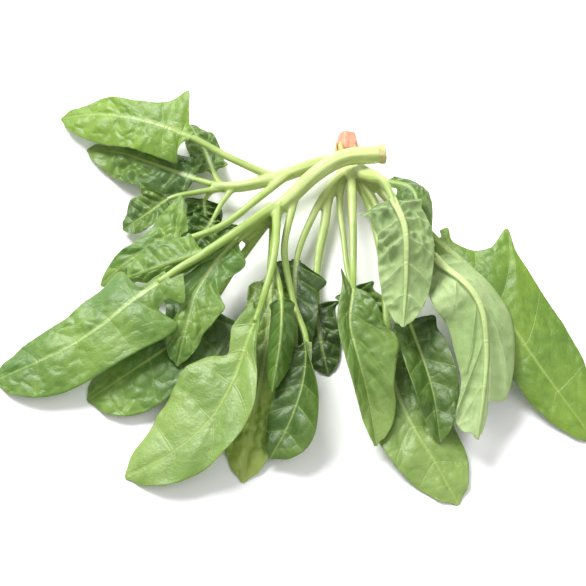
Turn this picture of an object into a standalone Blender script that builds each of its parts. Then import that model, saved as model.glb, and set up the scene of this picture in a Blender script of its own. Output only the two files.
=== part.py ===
"""A bunch of fresh spinach lying on a table.

Two cut plants make the bunch. One has a red root crown, the other a thick pale stalk laid across
it. Their petioles fan out over the table and each ends in one leaf blade.

Metres, +Z up. The table is z = 0, and the origin is on it under the middle of the red crown, where
the crown has a small flat it lies on. The leaves fan out towards -Y. Stalks and leaves are laid on
the table one after another, and each is bent up just far enough to clear what lies under it.
"""

import math
from dataclasses import dataclass

import bmesh
import bpy
import numpy as np

MM = 0.001

# How the pieces lie on each other.
PILE_GAP = 1.0 * MM  # air between a piece and the one it lies on
BEND_REACH = 42 * MM  # how far along a leaf a lift at one place fades out
BEND_NEAR = 9 * MM  # the middle of a lift that stays level
JOINED = 38 * MM  # a petiole may run through its own plant's stalk this far from its root
JOINT_SLIT = 0.4 * MM  # between a petiole's end and its blade

# The heap's height map, seen from above.
CELL = 1 * MM
MAP_LOW = (-250 * MM, -290 * MM)
MAP_HIGH = (190 * MM, 70 * MM)

# Blades.
BLADE_THICKNESS = 0.8 * MM
TIP_RIB_RADIUS = 0.55 * MM
RIB_SPREAD = 1.15  # the rib's half width as a share of its depth
NOTCH_CLEARANCE = 0.9 * MM  # between a petiole and the lobes beside it
BLUNT_TIP = 1.6 * MM
WAVES_PER_LEAF = 2.5
BELLY = 0.36  # where along the blade it is widest
VEIN_ROWS = 13  # lines of points across each half, every second one along a lateral vein

# How the margin runs from one lobe to the tip, in shares of the blade's length, width and lobe.
LAST_ROOT = 0.985  # where the last line of points leaves the rib
ROOT_CROWDING = 1.5  # more than 1 crowds the lines towards the lobes
NECK_SWEEP = 0.4
NECK_OUT = 0.4
LOBE_LENGTH = 0.09
LOBE_END = (0.4, 0.5)  # shares of the lobe and of the width
SHOULDER = (0.22, 0.95)  # along the blade, and its share of the width
MARGIN_END = 0.99
MARGIN_CROWDING = 0.85
SWELL_LEAN = 0.8  # less than 1 moves a swelling's top towards the rib
LEAST_TURN = 1e-3  # radians a metre: a margin that curls less is flat
ON_RIB = 1e-6

# Stalks.
ROUTE_STEP = 1 * MM
PETIOLE_SIDES = 8
STALK_SIDES = 10
RING_SPACING = 8 * MM

# The red crown, a stub of root that lies along Y over the origin.
CROWN_HALF_LENGTH = 7 * MM
CROWN_RADII = (5.2 * MM, 6.3 * MM, 6.7 * MM, 6.4 * MM)
CROWN_AXIS_HEIGHT = 5.6 * MM
CROWN_SIDES = 14
CROWN_RIBS = 5
CROWN_RIB_DEPTH = 0.05

# The pale stalk's cut end.
CUT_END_LENGTH = 3 * MM
CUT_END_FLARE = 1.08

COLOURS = {
    "blade_green": (0.13, 0.28, 0.04, 1),
    "blade_pale": (0.34, 0.47, 0.16, 1),
    "stalk_green": (0.52, 0.66, 0.22, 1),
    "crown_pink": (0.72, 0.33, 0.26, 1),
}
PLANT_STALK = {"red": "stalk_red_plant", "pale": "stalk_pale_plant"}


@dataclass(frozen=True)
class Side:
    """One half of a blade, out from the rib, in millimetres and degrees."""

    width: float  # belly
    lobe: float  # how far the basal lobe reaches out
    sweep: float  # where its tip is along the rib, negative behind the blade's base
    fold: tuple = (0, 0)  # tilt up from the rib, at the base and at the tip
    curl: float = 0  # how much further the surface has turned up at the margin
    full: float = 2.4  # how long the margin keeps its width towards the tip
    ear: tuple = ()  # the margin up to the belly as (along, out), where one lobe doesn't tell it


@dataclass(frozen=True)
class Leaf:
    """A petiole and its blade. Points are (x, y, height), in millimetres."""

    name: str
    plant: str
    petiole: tuple  # from inside the stalk towards the blade
    blade: tuple  # from the blade's base to its tip
    radii: tuple  # of the petiole, at the stalk and at the blade
    left: Side
    right: Side
    pucker: float = 1.2  # height of the swellings between veins
    wave: float = 1.5  # height of the waves along the margin
    roll: tuple = (0, 0)  # tilt of the whole blade, left side up, at base and tip
    underside_up: bool = False


@dataclass(frozen=True)
class Stalk:
    """A main stalk that petioles grow from. Points are (x, y, height), in millimetres."""

    name: str
    plant: str
    points: tuple
    radii: tuple


def smooth(points, count):
    """A smooth curve through the points, at count + 1 even shares of its length."""
    points = np.array(points, float)
    gaps = np.linalg.norm(np.diff(points, axis=0), axis=1)
    at = np.concatenate([[0], np.cumsum(gaps)])
    slopes = np.gradient(points, at, axis=0)
    fine = np.linspace(0, at[-1], 40 * len(points))
    span = np.clip(np.searchsorted(at, fine, side="right") - 1, 0, len(gaps) - 1)
    h = gaps[span]
    t = (fine - at[span]) / h
    curve = (
        (2 * t**3 - 3 * t**2 + 1)[:, None] * points[span]
        + ((t**3 - 2 * t**2 + t) * h)[:, None] * slopes[span]
        + (3 * t**2 - 2 * t**3)[:, None] * points[span + 1]
        + ((t**3 - t**2) * h)[:, None] * slopes[span + 1]
    )
    lengths = np.concatenate([[0], np.cumsum(np.linalg.norm(np.diff(curve, axis=0), axis=1))])
    wanted = np.linspace(0, lengths[-1], count + 1)
    return np.stack([np.interp(wanted, lengths, curve[:, k]) for k in range(3)], axis=1)


class Route:
    """The line that a petiole and its blade's rib follow."""

    def __init__(self, points):
        rough = np.linalg.norm(np.diff(np.array(points, float), axis=0), axis=1).sum()
        self.points = smooth(points, max(4, round(rough / ROUTE_STEP)))
        steps = np.linalg.norm(np.diff(self.points, axis=0), axis=1)
        self.at = np.concatenate([[0], np.cumsum(steps)])
        self.length = self.at[-1]

    def place(self, s):
        """The points at distances s along the route."""
        s = np.asarray(s, float)
        return np.stack([np.interp(s, self.at, self.points[:, k]) for k in range(3)], axis=-1)

    def frame(self, s):
        """Unit vectors at distances s: ahead, to the left and up."""
        s = np.clip(s, 0, self.length)
        ahead = self.place(s + 2 * ROUTE_STEP) - self.place(s - 2 * ROUTE_STEP)
        ahead /= np.linalg.norm(ahead, axis=-1, keepdims=True)
        left = np.stack([-ahead[..., 1], ahead[..., 0], np.zeros_like(ahead[..., 0])], axis=-1)
        left /= np.linalg.norm(left, axis=-1, keepdims=True)
        return ahead, left, np.cross(ahead, left)

    def nearest(self, point):
        """How far along the route it passes closest to a point."""
        return self.at[np.argmin(np.linalg.norm(self.points - np.array(point, float), axis=1))]


class Heap:
    """Height of what has been laid on the table so far, and whose stalk is on top."""

    def __init__(self):
        size = [round((high - low) / CELL) for low, high in zip(MAP_LOW, MAP_HIGH)]
        self.top = np.full(size, -PILE_GAP)
        self.owner = np.full(size, "", dtype="U8")

    def cells(self, points):
        """The map cells under these points."""
        cells = np.floor((points[..., :2] - np.array(MAP_LOW)) / CELL).astype(int)
        return cells[..., 0], cells[..., 1]

    def lay(self, points, owner):
        """Raises the map to these surface points, and to the cells beside them."""
        x, y = self.cells(points)
        raised = np.full_like(self.top, -1.0)
        np.maximum.at(raised, (x, y), points[..., 2])
        for axis in (0, 1):
            raised = np.maximum.reduce([np.roll(raised, k, axis) for k in (-1, 0, 1)])
        higher = raised > self.top
        self.top[higher] = raised[higher]
        self.owner[higher] = owner

    def need(self, points, plant):
        """How far each point has to rise to clear the heap, and where it may join its own plant."""
        x, y = self.cells(points)
        return self.top[x, y] + PILE_GAP - points[..., 2], self.owner[x, y] == plant


def fade(sites, needs):
    """The lift at every site: each need, fading out with distance along the leaf."""
    apart = np.linalg.norm(sites[:, None] - sites[None], axis=2) - BEND_NEAR
    share = np.clip(1 - (np.clip(apart, 0, None) / BEND_REACH) ** 2, 0, 1) ** 2
    return (share * np.clip(needs, 0, None)[None]).max(axis=1)


def ring(route, s, radius, sides):
    """The corners of the tube's rings at distances s."""
    _, left, up = route.frame(s)
    turn = 2 * math.pi * (np.arange(sides) + 0.5) / sides
    radius = np.asarray(radius)[:, None, None]
    around = np.cos(turn)[None, :, None] * left[:, None] + np.sin(turn)[None, :, None] * up[:, None]
    return route.place(s)[:, None] + radius * around


def stem_radius(s, length, radii):
    """A stem's radius at distances s, tapering from its first to its second."""
    return (radii[0] + (radii[1] - radii[0]) * np.clip(np.asarray(s) / length, 0, 1)) * MM


def rib_radius(a, length, leaf):
    """Half the rib's depth at distance a from the blade's base."""
    share = np.clip(a / length, 0, 1)
    return leaf.radii[1] * MM * (1 - share) + TIP_RIB_RADIUS * share


def vein_roots(length):
    """Where the lines of points leave the rib, close together in the lobes."""
    return LAST_ROOT * length * np.linspace(0, 1, VEIN_ROWS) ** ROOT_CROWDING


def margin(length, side):
    """Where each line of points meets the margin, as (along, out)."""
    width = side.width * MM
    if side.ear:
        ear = [(along * MM, out * MM) for along, out in side.ear]
    else:
        lobe, sweep = side.lobe * MM, side.sweep * MM
        neck = NECK_SWEEP * sweep
        ear = [
            (min(0.0, neck), 0.0),
            (neck, NECK_OUT * lobe),
            (sweep, lobe),
            (sweep + LOBE_LENGTH * length, LOBE_END[0] * lobe + LOBE_END[1] * width),
            (max(NECK_SWEEP * sweep, 0.0) + SHOULDER[0] * length, SHOULDER[1] * width),
            (BELLY * length, width),
        ]
    belly = ear[-1][0] / length
    share = np.linspace(0, 1, VEIN_ROWS - len(ear) + 1)[1:] * MARGIN_END
    along = length * (belly + (1 - belly) * share**MARGIN_CROWDING)
    out = ear[-1][1] * (1 - share**side.full)
    return np.concatenate([np.array(ear), np.stack([along, out], axis=1)])


def half_blade(leaf, length, side, columns):
    """One half as (along, out, share of the way to the margin), row by row, column outwards."""
    root = vein_roots(length)[:, None]
    along, out = (margin(length, side)[:, k, None] for k in range(2))
    rib = RIB_SPREAD * rib_radius(root, length, leaf)
    # Behind the base the lobes lie beside the petiole, and have to leave room for it.
    beside = leaf.radii[1] * MM + NOTCH_CLEARANCE
    inner = np.where(along < 0, beside, rib)
    out = np.maximum(out, inner + BLUNT_TIP)
    share = np.linspace(0, 1, columns)[None]
    b = inner + (out - inner) * share
    b = np.concatenate([np.zeros_like(root), b], axis=1)
    a = root + (along - root) * np.clip((b - inner) / (out - inner), 0, 1)
    share = np.concatenate([np.zeros_like(root), np.broadcast_to(share, a[:, 1:].shape)], axis=1)
    return a, b, share


class Blade:
    """A leaf's blade as two sheets of points over one grid, above and below."""

    def __init__(self, leaf, route, base, columns):
        self.leaf = leaf
        self.route = route
        self.base = base
        self.length = route.length - base
        halves = [self.half(side, sign, columns) for side, sign in ((leaf.left, 1), (leaf.right, -1))]
        join = [np.concatenate([right[:, :0:-1], left], axis=1) for left, right in zip(*halves)]
        self.upper, self.lower, self.sites = join

    def surface(self, side, sign, a, b, lift):
        """Points at flat coordinates (a, b) and height lift over the sheet, and the normals there."""
        leaf = self.leaf
        along = np.clip(a / self.length, 0, 1)
        start = np.radians(side.fold[0] + (side.fold[1] - side.fold[0]) * along)
        turn = math.radians(side.curl) / (max(side.width, side.lobe) * MM)
        turn = turn if abs(turn) > LEAST_TURN else LEAST_TURN
        angle = start + turn * b
        out = (np.sin(angle) - np.sin(start)) / turn
        up = (np.cos(start) - np.cos(angle)) / turn + lift
        _, left, over = self.route.frame(self.base + a)
        roll = np.radians(leaf.roll[0] + (leaf.roll[1] - leaf.roll[0]) * along)[..., None]
        side_way = sign * (np.cos(roll) * left + np.sin(roll) * over)
        up_way = np.cos(roll) * over - np.sin(roll) * left
        points = self.route.place(self.base + a) + out[..., None] * side_way + up[..., None] * up_way
        return points, np.cos(angle)[..., None] * up_way - np.sin(angle)[..., None] * side_way

    def half(self, side, sign, columns):
        """Upper and lower points, and the flat coordinates, of one half."""
        leaf = self.leaf
        a, b, share = half_blade(leaf, self.length, side, columns)
        line = np.arange(VEIN_ROWS)[:, None]
        room = np.clip(b[:, -1:] / (0.5 * side.width * MM), 0, 1) ** 2
        swell = leaf.pucker * MM * (line % 2) * np.sin(math.pi * share**SWELL_LEAN)
        ripple = leaf.wave * MM * share**2 * np.sin(2 * math.pi * WAVES_PER_LEAF * line / VEIN_ROWS + sign)
        rib = rib_radius(a, self.length, leaf)
        face = -1 if leaf.underside_up else 1
        lift = face * (swell * room + rib - BLADE_THICKNESS / 2) + ripple * room
        middle, normal = self.surface(side, sign, a, b, lift)
        half_thick = BLADE_THICKNESS / 2
        ridge = np.clip(2 * rib - BLADE_THICKNESS, 0, None) * (share == 0) * (b < ON_RIB)
        upper = middle + normal * (half_thick + (ridge if face < 0 else 0 * ridge))[..., None]
        lower = middle - normal * (half_thick + (ridge if face > 0 else 0 * ridge))[..., None]
        return upper, lower, np.stack([self.base + a, sign * b], axis=-1)

    def bend(self, lift):
        """Raises both sheets by the lift at each grid point."""
        self.upper[..., 2] += lift
        self.lower[..., 2] += lift


def facets(grid, across=12):
    """Points spread over each cell's two triangles: (rows, columns, points, 3)."""
    s, t = np.meshgrid(np.linspace(0, 1, across), np.linspace(0, 1, across))
    s = s.ravel()[:, None]
    t = t.ravel()[:, None]
    p00, p10 = grid[:-1, :-1, None], grid[1:, :-1, None]
    p11, p01 = grid[1:, 1:, None], grid[:-1, 1:, None]
    first = p00 + s * (p10 - p00) + t * (p11 - p10)
    second = p00 + t * (p01 - p00) + s * (p11 - p01)
    return np.where(s >= t, first, second)


def corner_needs(cell_needs):
    """The largest need among the cells that meet at each grid point."""
    rows, columns = cell_needs.shape
    needs = np.zeros((rows + 1, columns + 1))
    for i in (0, 1):
        for j in (0, 1):
            part = needs[i : i + rows, j : j + columns]
            np.maximum(part, cell_needs, out=part)
    return needs


class Laid:
    """A leaf or stalk laid on the heap, with its route bent clear."""

    def __init__(self, heap, spec, columns=0):
        self.spec = spec
        is_leaf = isinstance(spec, Leaf)
        points = spec.petiole + spec.blade if is_leaf else spec.points
        self.route = Route(np.array(points, float) * MM)
        self.base = self.route.nearest(np.array(spec.blade[0]) * MM) if is_leaf else self.route.length
        self.radii = spec.radii
        stem = np.arange(0, self.base + ROUTE_STEP / 2, ROUTE_STEP)
        walls = ring(self.route, stem, stem_radius(stem, self.base, self.radii), 2 * PETIOLE_SIDES)
        need, own = heap.need(walls, spec.plant)
        rooted = np.clip(1 - stem / JOINED, 0, 1)[:, None] > 0
        need = np.where(own & rooted, 0, need)
        sites = np.stack([stem, np.zeros_like(stem)], axis=1)
        needs = need.max(axis=1)
        if is_leaf:
            self.blade = Blade(spec, self.route, self.base, columns)
            need, _ = heap.need(facets(self.blade.lower), spec.plant)
            blade_needs = corner_needs(need.max(axis=2))
            sites = np.concatenate([sites, self.blade.sites.reshape(-1, 2)])
            needs = np.concatenate([needs, blade_needs.ravel()])
        lifts = fade(sites, needs)
        self.lift_route(stem, lifts[: len(stem)])
        if is_leaf:
            self.blade.bend(lifts[len(stem) :].reshape(self.blade.sites.shape[:2]))
            heap.lay(facets(self.blade.upper), "")
        walls = ring(self.route, stem, stem_radius(stem, self.base, self.radii), 2 * PETIOLE_SIDES)
        heap.lay(walls, spec.plant)

    def lift_route(self, stem, lift):
        """Raises the stem part of the route, keeping its length marks."""
        self.route.points[:, 2] += np.interp(self.route.at, stem, lift)

    def tube(self, sides):
        """The stem's rings, from its root to just short of the blade."""
        end = self.base - (JOINT_SLIT if isinstance(self.spec, Leaf) else 0)
        count = max(3, round(end / RING_SPACING))
        s = np.linspace(0, end, count + 1)
        return ring(self.route, s, stem_radius(s, self.base, self.radii), sides)


def material(name):
    """The named finish, made once."""
    made = bpy.data.materials.get(name)
    if made is None:
        made = bpy.data.materials.new(name)
        made.use_nodes = True
        shader = made.node_tree.nodes["Principled BSDF"]
        shader.inputs["Base Color"].default_value = COLOURS[name]
        shader.inputs["Roughness"].default_value = 0.45
    return made


def add_object(name, vertices, faces, finish, smooth_shading=True):
    """A closed mesh object from points and faces, with its faces turned outwards."""
    mesh = bpy.data.meshes.new(name)
    mesh.from_pydata([tuple(v) for v in vertices], [], faces)
    work = bmesh.new()
    work.from_mesh(mesh)
    bmesh.ops.recalc_face_normals(work, faces=work.faces)
    work.to_mesh(mesh)
    work.free()
    if smooth_shading:
        mesh.shade_smooth()
    mesh.materials.append(material(finish))
    made = bpy.data.objects.new(name, mesh)
    bpy.context.scene.collection.objects.link(made)
    return made


def add_tube(name, rings, finish):
    """A closed tube through the rings."""
    count, sides = rings.shape[:2]
    faces = [
        (i * sides + j, i * sides + (j + 1) % sides, (i + 1) * sides + (j + 1) % sides, (i + 1) * sides + j)
        for i in range(count - 1)
        for j in range(sides)
    ]
    faces.append(tuple(range(sides)))
    faces.append(tuple((count - 1) * sides + j for j in range(sides)))
    return add_object(name, rings.reshape(-1, 3), faces, finish)


def add_blade(blade):
    """The blade as one thin closed solid, its two sheets split into the same triangles."""
    rows, columns = blade.upper.shape[:2]
    under = rows * columns

    def index(i, j):
        return i * columns + j

    faces = []
    for i in range(rows - 1):
        for j in range(columns - 1):
            a, b, c, d = index(i, j), index(i + 1, j), index(i + 1, j + 1), index(i, j + 1)
            for corners in ((a, b, c), (a, c, d)):
                faces.append(corners)
                faces.append(tuple(under + k for k in reversed(corners)))
    rim = [index(0, j) for j in range(columns)]
    rim += [index(i, columns - 1) for i in range(1, rows)]
    rim += [index(rows - 1, j) for j in range(columns - 2, -1, -1)]
    rim += [index(i, 0) for i in range(rows - 2, 0, -1)]
    for a, b in zip(rim, rim[1:] + rim[:1]):
        faces.append((a, b, under + b))
        faces.append((a, under + b, under + a))
    points = np.concatenate([blade.upper.reshape(-1, 3), blade.lower.reshape(-1, 3)])
    finish = "blade_pale" if blade.leaf.underside_up else "blade_green"
    return add_object(f"blade_{blade.leaf.name}", points, faces, finish)


def fill_hollows(mesh):
    """Removes the inward-facing shells that crossing tubes leave closed off inside."""
    work = bmesh.new()
    work.from_mesh(mesh)
    left = set(work.faces)
    while left:
        shell = [left.pop()]
        for face in shell:
            for edge in face.edges:
                for other in edge.link_faces:
                    if other in left:
                        left.remove(other)
                        shell.append(other)
        volume = sum(face.calc_center_median().dot(face.normal) * face.calc_area() for face in shell) / 3
        if volume < 0:
            bmesh.ops.delete(work, geom=shell, context="FACES")
    work.to_mesh(mesh)
    work.free()


def add_stalks(plant, laid):
    """A plant's main stalks and petioles, grown together into one solid."""
    grown = bpy.data.collections.new("growing")
    bpy.context.scene.collection.children.link(grown)
    tubes = []
    for piece in laid:
        if piece.spec.plant == plant:
            sides = PETIOLE_SIDES if isinstance(piece.spec, Leaf) else STALK_SIDES
            tubes.append(add_tube("tube", piece.tube(sides), "stalk_green"))
    trunk = tubes[0]
    for tube in tubes[1:]:
        bpy.context.scene.collection.objects.unlink(tube)
        grown.objects.link(tube)
    union = trunk.modifiers.new("grown together", "BOOLEAN")
    union.operation = "UNION"
    union.operand_type = "COLLECTION"
    union.collection = grown
    union.solver = "EXACT"
    bpy.context.view_layer.update()
    joined = bpy.data.meshes.new_from_object(trunk.evaluated_get(bpy.context.evaluated_depsgraph_get()))
    trunk.modifiers.clear()
    fill_hollows(joined)
    trunk.data = joined
    trunk.name = PLANT_STALK[plant]
    for tube in tubes[1:]:
        bpy.data.objects.remove(tube)
    bpy.data.collections.remove(grown)
    return trunk


def add_crown():
    """The red root crown, ribbed by old leaf bases, with a flat along its underside."""
    rings = []
    for y, radius in zip(np.linspace(CROWN_HALF_LENGTH, -CROWN_HALF_LENGTH, len(CROWN_RADII)), CROWN_RADII):
        turn = 2 * math.pi * (np.arange(CROWN_SIDES) + 0.5) / CROWN_SIDES - math.pi / 2
        ribbed = radius * (1 + CROWN_RIB_DEPTH * np.cos(CROWN_RIBS * turn))
        x = ribbed * np.cos(turn)
        z = np.maximum(CROWN_AXIS_HEIGHT + ribbed * np.sin(turn), 0)
        rings.append(np.stack([x, np.full_like(x, y), z], axis=1))
    return add_tube("crown_red", np.array(rings), "crown_pink")


def add_cut_end(stalk):
    """The darker slice at the pale stalk's root end."""
    _, left, up = stalk.route.frame(np.array([0.0]))
    ahead = np.cross(left, up)[0]
    first = stalk.tube(STALK_SIDES)[0]
    middle = first.mean(axis=0)
    near = first - ahead * JOINT_SLIT
    far = middle + (first - middle) * CUT_END_FLARE - ahead * (JOINT_SLIT + CUT_END_LENGTH)
    return add_tube("cut_end_pale", np.array([near, far]), "crown_pink")


def clear_scene():
    """Removes whatever the scene starts with."""
    for thing in list(bpy.data.objects):
        bpy.data.objects.remove(thing)


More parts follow.
